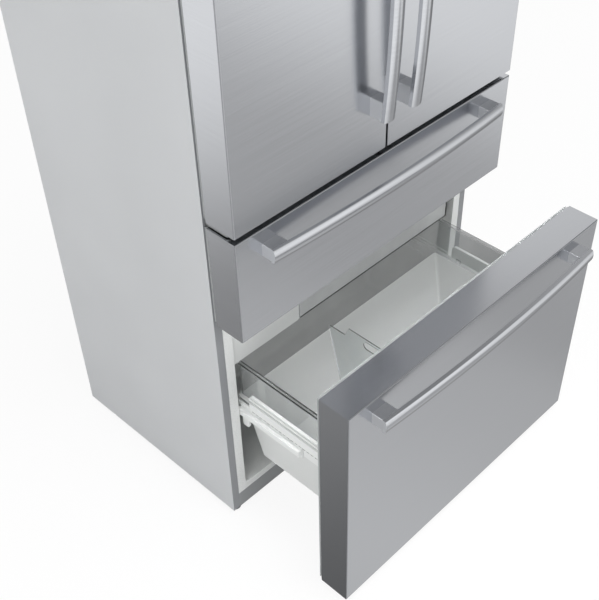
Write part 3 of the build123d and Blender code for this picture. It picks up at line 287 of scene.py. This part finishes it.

# %% [markdown]
# ## Dressing the solids
# The solids keep their own meshes and get a finish each, chosen by their record slot. Clear bins and
# glass cast no shadow: a real clear wall lets nearly all light through, and tracing that light would need
# far more samples than a plain picture has.

# %% Dress the solids
finish_of_slot = {
    "case_paint": case_paint,
    "grey_paint": base_paint,
    "stainless": stainless,
    "handle_steel": handle_steel,
    "zinc_steel": zinc,
    "liner_plastic": liner_white,
    "slide_plastic": slide_white,
    "grey_plastic": cap_grey,
    "black_plastic": fitting_black,
    "clear_plastic": clear_plastic,
    "shelf_glass": shelf_glass,
    "lamp_lens": lamp_opal,
    "seal_rubber": seal_grey,
    "black_rubber": grommet_black,
    "black_paint": black_paint,
    "fin_metal": fin_bright,
    "insulation": foam_cream,
}
slot_of_node = {entry["node"]: entry["material_slot"] for entry in frame["record"]["subparts"]}
for name, solid in nodes.items():
    solid.data.materials.clear()
    solid.data.materials.append(finish_of_slot[slot_of_node[name]])
    solid.visible_shadow = slot_of_node[name] not in ("clear_plastic", "shelf_glass")

own_finish = {
    "cross_rails": flange_paint,
    "freezer_tub": tub_white,
    # the ice bin takes the greyer tub white as painted shade, for the shadow of the middle drawer over it
    "ice_bin": tub_white,
    # the collar's grey tint is painted shade
    "freezer_collar": shaded_clear_plastic,
    "freezer_tray": frosted_plastic,
}
for name, finish in own_finish.items():
    nodes[name].data.materials[0] = finish
print("dressed", len(nodes), "solids,", len(own_finish), "with a finish of their own")

# %% [markdown]
# ## Second finishes
# Some solids show two finishes. The faces of the case that look forward, its front flange, take a darker
# grey. The steel skins are painted darker and duller round their folded edges, as painted shade that
# keeps a bright line off them, and they are folded round the rims of the white inner panels. The divider
# in the tub is clearer than the collar that it hangs from, and the floors of the runners' grooves are
# painted grey as painted shade. The pieces could be split for this, but choosing faces by where they lie
# and which way they look leaves the meshes alone.

# %% Second finishes
squarely = 0.9  # a face looks squarely along an axis when its normal's share is more than this
unbent = 0.985  # and it is part of a rounded edge when no share reaches this
rim_band, rim_tilt = 0.001, 0.3  # how near the outside a rim lies, and how little it looks forward
divider_line, divider_band = -0.06, 0.004
groove_depth, groove_band = 0.005, 0.0006
runner_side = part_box("freezer_runners")[1][0]


def second_finish(name, finish, chosen):
    """Give the chosen faces of a solid another finish."""
    mesh = nodes[name].data
    mesh.materials.append(finish)
    picked = [face for face in mesh.polygons if chosen(face)]
    for face in picked:
        face.material_index = 1
    print(name, len(picked), "faces in", finish.name)


def rim_of(name):
    """Chooser for the narrow faces round the outside of a panel."""
    low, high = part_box(name)

    def chosen(face):
        spot = face.center
        from_edge = min(min(spot[way] - low[way], high[way] - spot[way]) for way in (0, 2))
        return abs(face.normal.y) < rim_tilt and from_edge < rim_band

    return chosen


def on_groove_floor(face):
    """Whether a face lies on the floor of a runner's groove, which is painted grey as painted shade."""
    inward = runner_side - abs(face.center.x)
    return abs(face.normal.x) > squarely and abs(inward - groove_depth) < groove_band


def on_divider(face):
    """Whether a face belongs to the divider's plate."""
    return abs(face.center.x - divider_line) < divider_band and abs(face.normal.y) < squarely


# the faces of the case that look forward, its front flange, take the darker grey
second_finish("case_panels", flange_paint, lambda face: face.normal.y < -squarely)
# painted shade: the rounded edges of the skins are painted darker and duller
for front in ("left_door", "right_door", "middle_front", "freezer_front"):
    second_finish(front + "_skin", edge_shade_steel, lambda face: max(map(abs, face.normal)) < unbent)
for name in ("left_door_liner", "right_door_liner", "middle_front_panel", "freezer_front_panel"):
    second_finish(name, stainless, rim_of(name))
second_finish("freezer_collar", clear_plastic, on_divider)
# painted shade on the floors of the runners' grooves
second_finish("freezer_runners", groove_shade_grey, on_groove_floor)

# %% [markdown]
# ## What the steel does not mirror
# On a studio picture the fronts show a clean gradient, because cards stand between them and whatever
# would show in them. Cards could be modelled; here the pieces of the open drawer are simply hidden from
# mirror rays, so the drawer leaves no dark patch on the fronts.

# %% What the steel does not mirror
unmirrored = ("front_skin", "front_panel", "gasket", "tub", "collar", "runners", "slides")
for name in unmirrored:
    nodes["freezer_" + name].visible_glossy = False
print("hidden from mirror rays:", len(unmirrored), "solids")

# %% [markdown]
# ## Door and drawer seals
# A refrigerator seal is an extruded strip with a soft fold on each side and a magnet behind its face,
# welded at the corners. The plain ring of the solids could be shown, but the folds are what the eye
# knows it by. Each point of the strip's section becomes one rectangle, set in from the outer edge by
# that point's distance, so the corners come out mitred as the welded ones are.

# %% Seals with folded sides
seal_section = (  # millimetres in from the outer edge, and share of the depth
    (0.0, 0.0), (0.0, 0.28), (2.2, 0.42), (2.2, 0.5), (0.0, 0.62), (0.0, 0.88), (1.2, 1.0),
    (5.6, 1.0), (7.0, 0.9), (8.4, 1.0), (12.8, 1.0), (14.0, 0.88), (14.0, 0.62), (11.8, 0.5),
    (11.8, 0.42), (14.0, 0.28), (14.0, 0.0),
)


def folded_seal(node, body):
    """Seal in the place of a plain ring, with its section carried round four mitred corners."""
    low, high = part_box(node)
    points, faces = [], []
    for inset_mm, share in seal_section:
        inset = inset_mm / 1000
        depth = low[1] + (high[1] - low[1]) * share
        left, right = low[0] + inset, high[0] - inset
        bottom, top = low[2] + inset, high[2] - inset
        points += [(left, depth, bottom), (right, depth, bottom), (right, depth, top), (left, depth, top)]
    count = len(seal_section)
    for ring in range(count):
        after = (ring + 1) % count
        for corner in range(4):
            turn = (corner + 1) % 4
            faces.append((ring * 4 + corner, ring * 4 + turn, after * 4 + turn, after * 4 + corner))
    mesh = bpy.data.meshes.new(node + "_folds")
    mesh.from_pydata(points, [], faces)
    mesh.update()
    mesh.materials.append(seal_grey)
    seal = bpy.data.objects.new(node + "_folds", mesh)
    bpy.context.collection.objects.link(seal)
    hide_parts(node)
    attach(seal, body)
    print(seal.name, len(mesh.polygons), "faces")
    return seal


folded_seal("left_door_gasket", "left_door")
folded_seal("right_door_gasket", "right_door")
folded_seal("middle_gasket", "middle_drawer")
freezer_seal = folded_seal("freezer_gasket", "freezer_drawer")
freezer_seal.visible_glossy = False

# %% [markdown]
# ## Section of a handle bar
# Each handle is a stainless bar with a gently rounded face and crisp edges. The rounding is what turns
# a broad reflection into one highlight along the bar. The section could be drawn as a curve; here it is
# worked out as an arc with a small round at each end, so its height and crown stay single values.

# %% Section of a handle bar
bar_height, crown = 0.0346, 0.0044  # metres: height of the bar and rise of its face
edge_round, side_taper, back_chamfer = 0.0008, 0.0008, 0.0008
arc_steps, corner_steps = 28, 6
corner_share = 0.9  # part of the edge's round that is taken off the arc


def bar_section(bar_depth):
    """Points across and behind the crest, from one back edge round the face to the other."""
    half_back = bar_height / 2
    half_bar = half_back - side_taper
    swing = 2 * math.atan2(crown, half_bar)
    radius = half_bar / math.sin(swing)
    turned = swing - edge_round / radius * corner_share
    points = []
    for step in range(arc_steps + 1):
        angle = -turned + 2 * turned * step / arc_steps
        points.append((radius * math.sin(angle), radius * (1 - math.cos(angle))))
    last_across, last_back = points[-1]
    reach, slope = half_bar - last_across, math.tan(turned)
    corner = []
    for step in range(1, corner_steps + 1):
        quarter = step / corner_steps * math.pi / 2
        along, down = reach * math.sin(quarter), 1 - math.cos(quarter)
        back = last_back + along * slope + (edge_round - reach * slope) * down
        corner.append((last_across + along, back))
    sides = [(half_back, bar_depth - back_chamfer), (half_back - back_chamfer, bar_depth)]
    right = corner + sides
    left = [(-across, back) for across, back in reversed(right)]
    return left + points + right


door_bar, middle_bar, freezer_bar = 0.0135, 0.0117, 0.0135  # depths of the bars
print("bar section with", len(bar_section(door_bar)), "points")

# %% [markdown]
# ## Bowed bar handles
# The bar is bowed along its length and welded to two square posts. The solids have the same bar, but a
# highlight runs along the whole of it and shows every facet, so the bar is swept again here: one smooth
# section, carried along an arc with many stations. A curve with a bevel profile could do it too; plain
# sweeping in code keeps the ends square to the arc and the section upright.

# %% Sweep of a handle
handle_reach = 0.042  # face of the front to the crest of the bar at its ends
post_width, post_inset, post_chamfer, post_sunk = 0.046, 0.0013, 0.0012, 0.004
bar_stations = 72


def handle_shape(node, along, bar_depth, setback):
    """Points and faces of a bar along axis 0 or 2 and of its posts, and the count of bar faces."""
    low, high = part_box(node)
    section = bar_section(bar_depth)
    across = 2 - along
    front = high[1]
    half_bar = (high[along] - low[along]) / 2
    middle = (high[along] + low[along]) / 2
    line = (high[across] + low[across]) / 2
    bow = (front - low[1]) - handle_reach
    radius = (half_bar ** 2 + bow ** 2) / (2 * bow)
    swing = math.asin(half_bar / radius)
    points, faces = [], []

    def put(run, out, side):
        """Add a point given along the bar, out from the front's face and across the bar."""
        spot = [0.0, front - out, 0.0]
        spot[along] = middle + run
        spot[across] = line + side
        points.append(spot)

    def ring(first, second, count):
        """Join two outlines of the same count, then leave their ends to the caller."""
        for place in range(count):
            turn = (place + 1) % count
            faces.append((first + place, first + turn, second + turn, second + place))

    count = len(section)
    for station in range(bar_stations + 1):
        angle = -swing + 2 * swing * station / bar_stations
        crest = handle_reach - setback + bow - radius * (1 - math.cos(angle))
        for side, back in section:
            run = radius * math.sin(angle) - back * math.sin(angle)
            put(run, crest - back * math.cos(angle), side)
    for station in range(bar_stations):
        ring(station * count, (station + 1) * count, count)
    bar_faces = len(faces)
    faces.append(tuple(range(count)))
    faces.append(tuple(range(bar_stations * count, (bar_stations + 1) * count)))

    outer, inner = half_bar - post_inset, half_bar - post_width
    half_post = bar_height / 2 - post_inset
    flat_end = half_post - post_chamfer
    outline = (
        (outer - post_chamfer, half_post), (outer, flat_end),
        (outer, -flat_end), (outer - post_chamfer, -half_post),
        (inner + post_chamfer, -half_post), (inner, -flat_end),
        (inner, flat_end), (inner + post_chamfer, half_post),
    )
    corners = len(outline)
    for end in (-1, 1):
        start = len(points)
        for out in (0.0, handle_reach - setback - bar_depth + post_sunk):
            for run, side in outline:
                put(end * run, out, side)
        ring(start, start + corners, corners)
        faces.append(tuple(range(start, start + corners)))
        faces.append(tuple(range(start + corners, start + 2 * corners)))
    return points, faces, bar_faces


print("handles reach", handle_reach, "m out at their ends")

# %% [markdown]
# ## The four handles
# The face of a bar is satin. Its back and its posts are blasted dull, and faces there that look
# sideways are bead-blasted, so they scatter the light of the lamps. Smooth shading with sharp edges
# keeps the highlight even and the edges crisp; a bevel could do that too, with many more faces. The
# upright bars belong to the doors and the level ones to the drawers. In the picture the door bars
# stand a little further out than the solids have them and the middle bar a little nearer, so each call
# gives its own setback.

# %% The four handles
sharp_degrees = 35
backward, sidelong = 0.7, 0.7  # a face looks back or sideways when its normal's share is more
level_bar, upright_bar = 0, 2  # axis that a bar runs along
door_setback, middle_setback, freezer_setback = -0.003, 0.0029, 0.0


def bowed_handle(node, body, along, bar_depth, setback):
    """Handle in the place of a plain one, with its crest set back from the solid's."""
    points, faces, bar_faces = handle_shape(node, along, bar_depth, setback)
    mesh = bpy.data.meshes.new(node + "_bar")
    mesh.from_pydata(points, [], faces)
    mesh.update()
    mesh.shade_smooth()
    mesh.set_sharp_from_angle(angle=math.radians(sharp_degrees))
    skin = bmesh.new()
    skin.from_mesh(mesh)
    bmesh.ops.recalc_face_normals(skin, faces=skin.faces)
    skin.to_mesh(mesh)
    skin.free()
    for finish in (handle_steel, post_steel, blasted_steel):
        mesh.materials.append(finish)
    for face in mesh.polygons:
        if face.index >= bar_faces or face.normal.y > backward:
            face.material_index = 2 if abs(face.normal.x) > sidelong else 1
    handle = bpy.data.objects.new(node + "_bar", mesh)
    bpy.context.collection.objects.link(handle)
    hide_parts(node)
    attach(handle, body)
    print(handle.name, len(mesh.polygons), "faces")


bowed_handle("left_door_handle", "left_door", upright_bar, door_bar, door_setback)
bowed_handle("right_door_handle", "right_door", upright_bar, door_bar, door_setback)
bowed_handle("middle_handle", "middle_drawer", level_bar, middle_bar, middle_setback)
bowed_handle("freezer_handle", "freezer_drawer", level_bar, freezer_bar, freezer_setback)

# %% [markdown]
# ## Dark lines of the drawer
# A clear moulded plate looks empty, but its edge mirrors the dark of the inside and shows as a thin dark
# outline; here that outline is a painted dark reflection. Between runner and slide a row of dark slots is
# drawn as short black strips. Ray bending alone would need a very fine picture to show such lines, so
# they are strips of their own. A bevelled curve makes them in one go: each path is a line and the bevel
# is its round section.


# %% Round strip along paths
def dark_strip(name, body, paths, radius, finish):
    """Mesh of round rods that follow the paths."""
    curve = bpy.data.curves.new(name, "CURVE")
    curve.dimensions = "3D"
    curve.bevel_depth = radius
    curve.bevel_resolution = 3
    curve.use_fill_caps = True
    for path in paths:
        line = curve.splines.new("POLY")
        line.points.add(len(path) - 1)
        for spot, place in zip(line.points, path):
            spot.co = (*place, 1.0)
    holder = bpy.data.objects.new(name + "_path", curve)
    bpy.context.collection.objects.link(holder)
    bpy.context.view_layer.update()
    mesh = bpy.data.meshes.new_from_object(holder.evaluated_get(bpy.context.evaluated_depsgraph_get()))
    bpy.data.objects.remove(holder)
    mesh.materials.clear()
    mesh.materials.append(finish)
    strip = bpy.data.objects.new(name, mesh)
    bpy.context.collection.objects.link(strip)
    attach(strip, body)
    print(name, len(mesh.polygons), "faces")


tray_line, rim_line, slot_line = 0.0015, 0.0012, 0.001
print("radii of the lines:", tray_line, rim_line, slot_line)

# %% [markdown]
# ## Where the dark lines run
# The tray's painted dark outline follows the lower and right edges of its front, the collar's two dark
# lines follow the left rim, and the dark slots sit in a row at the parting of runner and slide. All of
# them take their places from the boxes of the solids, so they move when a size changes.

# %% Edge strips and ball cages
low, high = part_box("freezer_tray")
tray_inset = 0.0016
left, right = low[0] + tray_inset, high[0] - tray_inset
bottom, top = low[2] + tray_inset, high[2] - tray_inset
tray_outline = [(left, low[1], bottom), (right, low[1], bottom), (right, low[1], top)]
# painted dark reflection along the tray's lower and right edges
dark_strip("freezer_tray_painted_dark_edge", "freezer_tray", [tray_outline], tray_line, edge_reflection_finish)

low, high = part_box("freezer_collar")
rim_width, rim_end = 0.011, 0.012
rim_lines = [
    [(across, low[1] + rim_end, high[2]), (across, high[1] - rim_end, high[2])]
    for across in (low[0] + rim_line, low[0] + rim_width - rim_line)
]
# painted dark reflection along the collar's left rim
dark_strip("freezer_collar_painted_dark_edge", "freezer_drawer", rim_lines, rim_line, edge_reflection_finish)

low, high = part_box("freezer_runners")
runner_height, slot_drop = 0.0495, 0.00125
parting = high[2] - runner_height - slot_drop
slot_length, slot_pitch = 0.008, 0.013
slots = []
for side in (low[0] + slot_line, high[0] - slot_line):
    for turn in range(int((high[1] - low[1]) / slot_pitch)):
        back = low[1] + turn * slot_pitch
        slots.append([(side, back, parting), (side, back + slot_length, parting)])
# short black strips in a row at the parting of runner and slide
dark_strip("freezer_runner_dark_slots", "freezer_drawer", slots, slot_line, fitting_black)

# %% [markdown]
# ## Screws of the rear panels
# The rear sheet and the vented cover of the machine room are held by a row of cross-head screws round
# their edges. Placing copies by hand would do for a few; a node tree spaces any number round a
# rectangle and keeps the head's sizes as inputs, so both panels share it. The cross is cut with a
# boolean before the head is copied, so it is cut only once.

# %% Screw row as a node tree
head_sides = 20
arm_share, slit_share, slot_lift = 1.2, 0.28, 0.6  # cross slot, as shares of the head's radius and depth


def screw_row_tree():
    """Tree that sets screws evenly round an upright rectangle."""
    tree = bpy.data.node_groups.new("screws_round_a_panel", "GeometryNodeTree")
    face = tree.interface
    face.new_socket("Geometry", in_out="INPUT", socket_type="NodeSocketGeometry")
    for label in ("Width", "Height", "Middle height", "Back", "Head radius", "Head depth"):
        face.new_socket(label, in_out="INPUT", socket_type="NodeSocketFloat")
    face.new_socket("Count", in_out="INPUT", socket_type="NodeSocketInt")
    face.new_socket("Finish", in_out="INPUT", socket_type="NodeSocketMaterial")
    face.new_socket("Geometry", in_out="OUTPUT", socket_type="NodeSocketGeometry")
    given = add(tree, "NodeGroupInput").outputs
    radius, depth = given["Head radius"], given["Head depth"]

    sizes = {0: given["Width"], 1: given["Height"]}
    outline = add(tree, "GeometryNodeCurvePrimitiveQuadrilateral", sizes)
    spacing = {"Curve": outline.outputs[0], "Count": given["Count"]}
    stations = add(tree, "GeometryNodeCurveToPoints", spacing, mode="COUNT")
    disc = {"Vertices": head_sides, "Radius": radius, "Depth": depth}
    head = add(tree, "GeometryNodeMeshCylinder", disc)

    arm = add(tree, "ShaderNodeMath", {0: radius, 1: arm_share}, operation="MULTIPLY").outputs[0]
    slit = add(tree, "ShaderNodeMath", {0: radius, 1: slit_share}, operation="MULTIPLY").outputs[0]
    lift = add(tree, "ShaderNodeMath", {0: depth, 1: slot_lift}, operation="MULTIPLY").outputs[0]
    rise = add(tree, "ShaderNodeCombineXYZ", {2: lift}).outputs[0]
    cut = add(tree, "GeometryNodeMeshBoolean", {"Mesh 1": head.outputs[0]}, operation="DIFFERENCE")
    for wide, tall in ((arm, slit), (slit, arm)):
        size = add(tree, "ShaderNodeCombineXYZ", {0: wide, 1: tall, 2: depth}).outputs[0]
        bar = add(tree, "GeometryNodeMeshCube", {"Size": size}).outputs[0]
        raised = add(tree, "GeometryNodeTransform", {"Geometry": bar, "Translation": rise})
        tree.links.new(raised.outputs[0], cut.inputs["Mesh 2"])

    copies = {"Points": stations.outputs[0], "Instance": cut.outputs[0]}
    row = add(tree, "GeometryNodeInstanceOnPoints", copies)
    seat = add(tree, "ShaderNodeMath", {0: depth, 1: 0.5, 2: given["Back"]}, operation="MULTIPLY_ADD")
    place = add(tree, "ShaderNodeCombineXYZ", {1: seat.outputs[0], 2: given["Middle height"]}).outputs[0]
    upright = {"Geometry": row.outputs[0], "Translation": place, "Rotation": (-math.pi / 2, 0, 0)}
    stood = add(tree, "GeometryNodeTransform", upright)
    real = add(tree, "GeometryNodeRealizeInstances", {0: stood.outputs[0]})
    coat = {"Geometry": real.outputs[0], "Material": given["Finish"]}
    dressed = add(tree, "GeometryNodeSetMaterial", coat)
    add(tree, "NodeGroupOutput", {0: dressed.outputs[0]})
    return tree


screw_row = screw_row_tree()
print("screw tree with", len(screw_row.nodes), "nodes")

# %% [markdown]
# ## Setting the screws
# The tree runs as a modifier on an empty mesh, with the panel's own sizes as its inputs. Its result is
# then taken as a plain mesh and the modifier goes, because a finished piece has to stand on its own.

# %% Screws on the rear panels
head_radius, head_depth = 0.0042, 0.0024


def screws_on(panel, inset, count):
    """Row of screws round a rear panel, set in from its edges."""
    low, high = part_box(panel)
    holder = bpy.data.objects.new("screw_holder", bpy.data.meshes.new("screw_holder"))
    bpy.context.collection.objects.link(holder)
    modifier = holder.modifiers.new("screws", "NODES")
    modifier.node_group = screw_row
    values = {
        "Width": high[0] - low[0] - 2 * inset,
        "Height": high[2] - low[2] - 2 * inset,
        "Middle height": (high[2] + low[2]) / 2,
        "Back": high[1],
        "Head radius": head_radius,
        "Head depth": head_depth,
        "Count": count,
        "Finish": zinc,
    }
    for item in screw_row.interface.items_tree:
        if item.in_out == "INPUT" and item.name in values:
            modifier[item.identifier] = values[item.name]
    bpy.context.view_layer.update()
    evaluated = holder.evaluated_get(bpy.context.evaluated_depsgraph_get())
    mesh = bpy.data.meshes.new_from_object(evaluated)
    bpy.data.objects.remove(holder)
    screws = bpy.data.objects.new(panel + "_screws", mesh)
    bpy.context.collection.objects.link(screws)
    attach(screws, "cabinet")
    print(screws.name, len(mesh.polygons), "faces")


for panel, inset, count in (("rear_panel", 0.012, 22), ("machine_cover", 0.01, 14)):
    screws_on(panel, inset, count)

# %% [markdown]
# ## Floor
# The picture was cut out on white, so the floor is white to the camera and only keeps a faint shadow.
# Plain white paper would turn grey away from the lamps; here a camera ray sees mostly an even glow, and
# every other ray meets pale paper that throws light back up. Mirror rays miss the floor altogether,
# because the studio's gradient stands in for it.

# %% Floor
floor_size = 120  # metres, so that its edge is never seen
bpy.ops.mesh.primitive_plane_add(size=floor_size)
floor = bpy.context.object
floor.name = "studio_floor"
floor_paper = bpy.data.materials.new("white_studio_paper")
floor_paper.use_nodes = True
tree = floor_paper.node_tree
tree.nodes.clear()
ray = add(tree, "ShaderNodeLightPath").outputs
glow_share = 0.9  # the rest shows the shadow
white_share = add(tree, "ShaderNodeMath", {0: ray["Is Camera Ray"], 1: glow_share}, operation="MULTIPLY")
paper = add(tree, "ShaderNodeBsdfDiffuse", {"Color": linear("#E6E6E6")})
glow = add(tree, "ShaderNodeEmission", {"Color": linear("#FFFFFF"), "Strength": 1.0})
parts = {0: white_share.outputs[0], 1: paper.outputs[0], 2: glow.outputs[0]}
mixed = add(tree, "ShaderNodeMixShader", parts)
add(tree, "ShaderNodeOutputMaterial", {0: mixed.outputs[0]})
floor.data.materials.append(floor_paper)
floor.visible_glossy = False
floor.visible_transmission = False
print("floor:", floor.name)

# %% [markdown]
# ## Surroundings that metal and clear plastic see
# Steel shows its surroundings more than its own colour. The soft gradients here, pale at the horizon
# and darker towards the floor, are what makes the fronts fade from light to grey. A photographed room
# could light the scene, but a ramp over the height of a ray's direction is plain to change. One ramp
# stands in front of the refrigerator and one behind it, and a ray's lean mixes the two.

# %% Ramps in front and behind
world = bpy.data.worlds.new("white_studio")
bpy.context.scene.world = world
world.use_nodes = True
tree = world.node_tree
tree.nodes.clear()
ray = add(tree, "ShaderNodeLightPath").outputs
ray_place = add(tree, "ShaderNodeTexCoord").outputs["Generated"]
way = add(tree, "ShaderNodeSeparateXYZ", {0: ray_place}).outputs
slant = {"Value": way["X"], "From Min": 0.4, "From Max": 0.8, "To Min": -0.08, "To Max": 0.08}
dip = {"Value": way["Y"], "From Min": -0.68, "From Max": -0.76, "To Min": 0.0, "To Max": -0.12}
ahead_height = way["Z"]  # the front ramp rises to the right and dips straight ahead
for bend in (slant, dip):
    shift = add(tree, "ShaderNodeMapRange", bend).outputs[0]
    ahead_height = add(tree, "ShaderNodeMath", {0: ahead_height, 1: shift}, operation="ADD").outputs[0]
ahead_stops = (  # height of the ray's direction, and tone
    (-0.88, 0.66), (-0.74, 0.56), (-0.7, 0.57), (-0.66, 0.44), (-0.62, 0.45), (-0.585, 0.48),
    (-0.55, 0.46), (-0.52, 0.45), (-0.47, 0.7), (-0.42, 0.98), (-0.3, 1.0), (-0.15, 0.9),
    (0.05, 0.5), (0.3, 0.44), (0.6, 0.52),
)
behind_stops = (
    (-0.85, 0.12), (-0.73, 0.28), (-0.63, 0.33), (-0.54, 0.8), (-0.45, 1.08), (-0.3, 0.85), (-0.1, 0.6),
    (0.4, 0.75), (0.55, 0.95), (0.61, 0.86), (0.67, 0.48), (0.72, 0.3), (0.78, 0.2),
)
bands = []
for height, stops in ((ahead_height, ahead_stops), (way["Z"], behind_stops)):
    share = add(tree, "ShaderNodeMapRange", {"Value": height, "From Min": -1.0, "From Max": 1.0})
    ramp = add(tree, "ShaderNodeValToRGB", {0: share.outputs[0]})
    while len(ramp.color_ramp.elements) < len(stops):
        ramp.color_ramp.elements.new(0.5)
    for stop, (place, tone) in zip(ramp.color_ramp.elements, stops):
        stop.position = (place + 1) / 2
        stop.color = (tone, tone, tone, 1.0)
    bands.append(ramp.outputs[0])
lean = add(tree, "ShaderNodeMath", {0: way["X"], 1: way["Y"]}, operation="SUBTRACT").outputs[0]
side = add(tree, "ShaderNodeMapRange", {"Value": lean, "From Min": 0.8, "From Max": 0.2}).outputs[0]
around = add(tree, "ShaderNodeMix", {0: side, 6: bands[0], 7: bands[1]}, data_type="RGBA").outputs[2]
print("ramps with", len(ahead_stops), "and", len(behind_stops), "stops")

# %% [markdown]
# ## Cards in the studio
# A photographer sets cards and panels round a shiny object to shape its reflections. Four such cards
# are laid over the ramps: a grey wall on the right, a darker side that only mirror rays see and that
# gives the bars their dark flanks, a white corner at the front left for the posts, and a bright panel
# ahead that makes the bars' highlights. Modelled cards would cast shadows; here each one is a product
# of soft limits on the ray's direction.

# %% Cards in the studio
limits = {  # axis, where a limit starts and where it is full
    "sideways": ("Y", -0.45, -0.25),
    "level": ("Z", -0.56, -0.5),
    "right": ("X", 0.4, 0.6),
    "under": ("Z", 0.2, 0.0),
    "leftward": ("X", 0.1, -0.2),
    "forward": ("Y", -0.2, -0.45),
    "steep": ("Z", -0.3, -0.38),
    "ahead": ("Y", -0.72, -0.82),
    "turned": ("X", 0.3, 0.45),
}
within = {}
for name, (axis, start, full) in limits.items():
    soft = add(tree, "ShaderNodeMapRange", {"Value": way[axis], "From Min": start, "From Max": full})
    within[name] = soft.outputs[0]
level_reach = 0.16  # the darker side comes further forward for level rays
reach_parts = {0: within["level"], 1: level_reach, 2: way["Y"]}
reach = add(tree, "ShaderNodeMath", reach_parts, operation="MULTIPLY_ADD").outputs[0]
aside = add(tree, "ShaderNodeMapRange", {"Value": reach, "From Min": -0.29, "From Max": -0.09}).outputs[0]
through = ray["Is Transmission Ray"]
mirror = add(tree, "ShaderNodeMath", {0: 1.0, 1: through}, operation="SUBTRACT").outputs[0]
either_parts = {0: within["steep"], 1: within["turned"]}
either = add(tree, "ShaderNodeMath", either_parts, operation="MAXIMUM").outputs[0]
panel_tone = (1.2, 1.2, 1.2, 1.0)
cards = (
    ((within["sideways"], within["level"], within["right"], within["under"]), linear("#A8A8A8")),
    ((aside, within["right"], within["under"], mirror), linear("#8E8E8E")),
    ((within["leftward"], within["forward"], within["steep"]), linear("#F4F4F4")),
    ((within["ahead"], either, within["under"]), panel_tone),
)
seen = around
for bounds, tone in cards:
    cover = bounds[0]
    for bound in bounds[1:]:
        cover = add(tree, "ShaderNodeMath", {0: cover, 1: bound}, operation="MULTIPLY").outputs[0]
    seen = add(tree, "ShaderNodeMix", {0: cover, 6: seen, 7: tone}, data_type="RGBA").outputs[2]
print("cards:", len(cards))

# %% [markdown]
# ## Who sees what
# The camera sees plain white, mirror and see-through rays see the studio made above, and all other
# rays get an even fill that keeps shadows open. The light path node tells these rays apart.

# %% World
fill_strength = 0.6
bent = add(tree, "ShaderNodeMath", {0: ray["Is Glossy Ray"], 1: through}, operation="MAXIMUM")
white = add(tree, "ShaderNodeBackground", {0: linear("#FFFFFF"), 1: 1.0})
fill = add(tree, "ShaderNodeBackground", {0: linear("#FFFFFF"), 1: fill_strength})
studio = add(tree, "ShaderNodeBackground", {0: seen, 1: 1.0})
unseen = add(tree, "ShaderNodeMixShader", {0: bent.outputs[0], 1: fill.outputs[0], 2: studio.outputs[0]})
whole_parts = {0: ray["Is Camera Ray"], 1: unseen.outputs[0], 2: white.outputs[0]}
whole = add(tree, "ShaderNodeMixShader", whole_parts)
add(tree, "ShaderNodeOutputWorld", {0: whole.outputs[0]})
print("world with", len(tree.nodes), "nodes")

# %% [markdown]
# ## Lamps
# Five square area lamps stand for the soft boxes of a studio: one high on the left, one in front, one
# weak one on the right, a large one far above, and a small one with a narrow spread over the open
# drawer, so that the inside of the tub is not lost in shade. Mirror rays do not see the lamps; the
# gradients above take their place.


# %% Lamps
def soft_box(name, place, aim, size, power, spread=180):
    """Square lamp at a place, turned towards a point; size in metres, power in watts."""
    lamp = bpy.data.lights.new(name, "AREA")
    lamp.shape = "SQUARE"
    lamp.size = size
    lamp.energy = power
    lamp.spread = math.radians(spread)
    holder = bpy.data.objects.new(name, lamp)
    holder.location = place
    right, ahead, up = (a - p for a, p in zip(aim, place))
    level = math.hypot(right, ahead)
    holder.rotation_euler = (math.atan2(level, -up), 0, math.atan2(ahead, right) - math.pi / 2)
    holder.visible_glossy = False
    bpy.context.collection.objects.link(holder)
    print(name, power, "W")


soft_box("left_soft_box", (-3.2, -1.6, 3.5), aim=(-0.2, 0.0, 0.9), size=2.6, power=60)
soft_box("front_soft_box", (0.8, -3.8, 2.2), aim=(0.0, -0.2, 0.6), size=2.6, power=62)
soft_box("top_soft_box", (-0.2, -2.0, 9.0), aim=(-0.1, -0.2, 0.2), size=3.6, power=270)
soft_box("drawer_snoot", (-0.15, -1.2, 5.0), aim=(0.0, -0.3, 0.3), size=0.8, power=1.15, spread=20)
soft_box("right_soft_box", (4.0, -1.0, 2.6), aim=(0.2, 0.0, 0.9), size=2.6, power=16)

# %% [markdown]
# ## Camera
# The camera's place, turn and lens were solved from the edges of the case and fronts in the picture.
# That picture is a crop out of a wider one, so the lens is shifted rather than turned, which keeps the
# uprights leaning as they do there.

# %% Camera
photo_px = (599, 600)
focal_px, centre_px = 1035.08, (334.95, 343.33)
camera_place = (-1.47966, -1.39858, 2.22549)
down_degrees, turn_degrees = 43.95, -46.9
camera_data = bpy.data.cameras.new("photo_camera")
camera = bpy.data.objects.new("photo_camera", camera_data)
bpy.context.collection.objects.link(camera)
camera_data.sensor_width = 36.0
camera_data.lens = focal_px * camera_data.sensor_width / max(photo_px)
camera_data.shift_x = (photo_px[0] / 2 - centre_px[0]) / max(photo_px)
camera_data.shift_y = (centre_px[1] - photo_px[1] / 2) / max(photo_px)
camera.location = camera_place
camera.rotation_euler = (math.radians(90 - down_degrees), 0, math.radians(turn_degrees))
scene = bpy.context.scene
scene.camera = camera
scene.view_settings.view_transform = "Standard"
print("lens", round(camera_data.lens, 2), "mm")
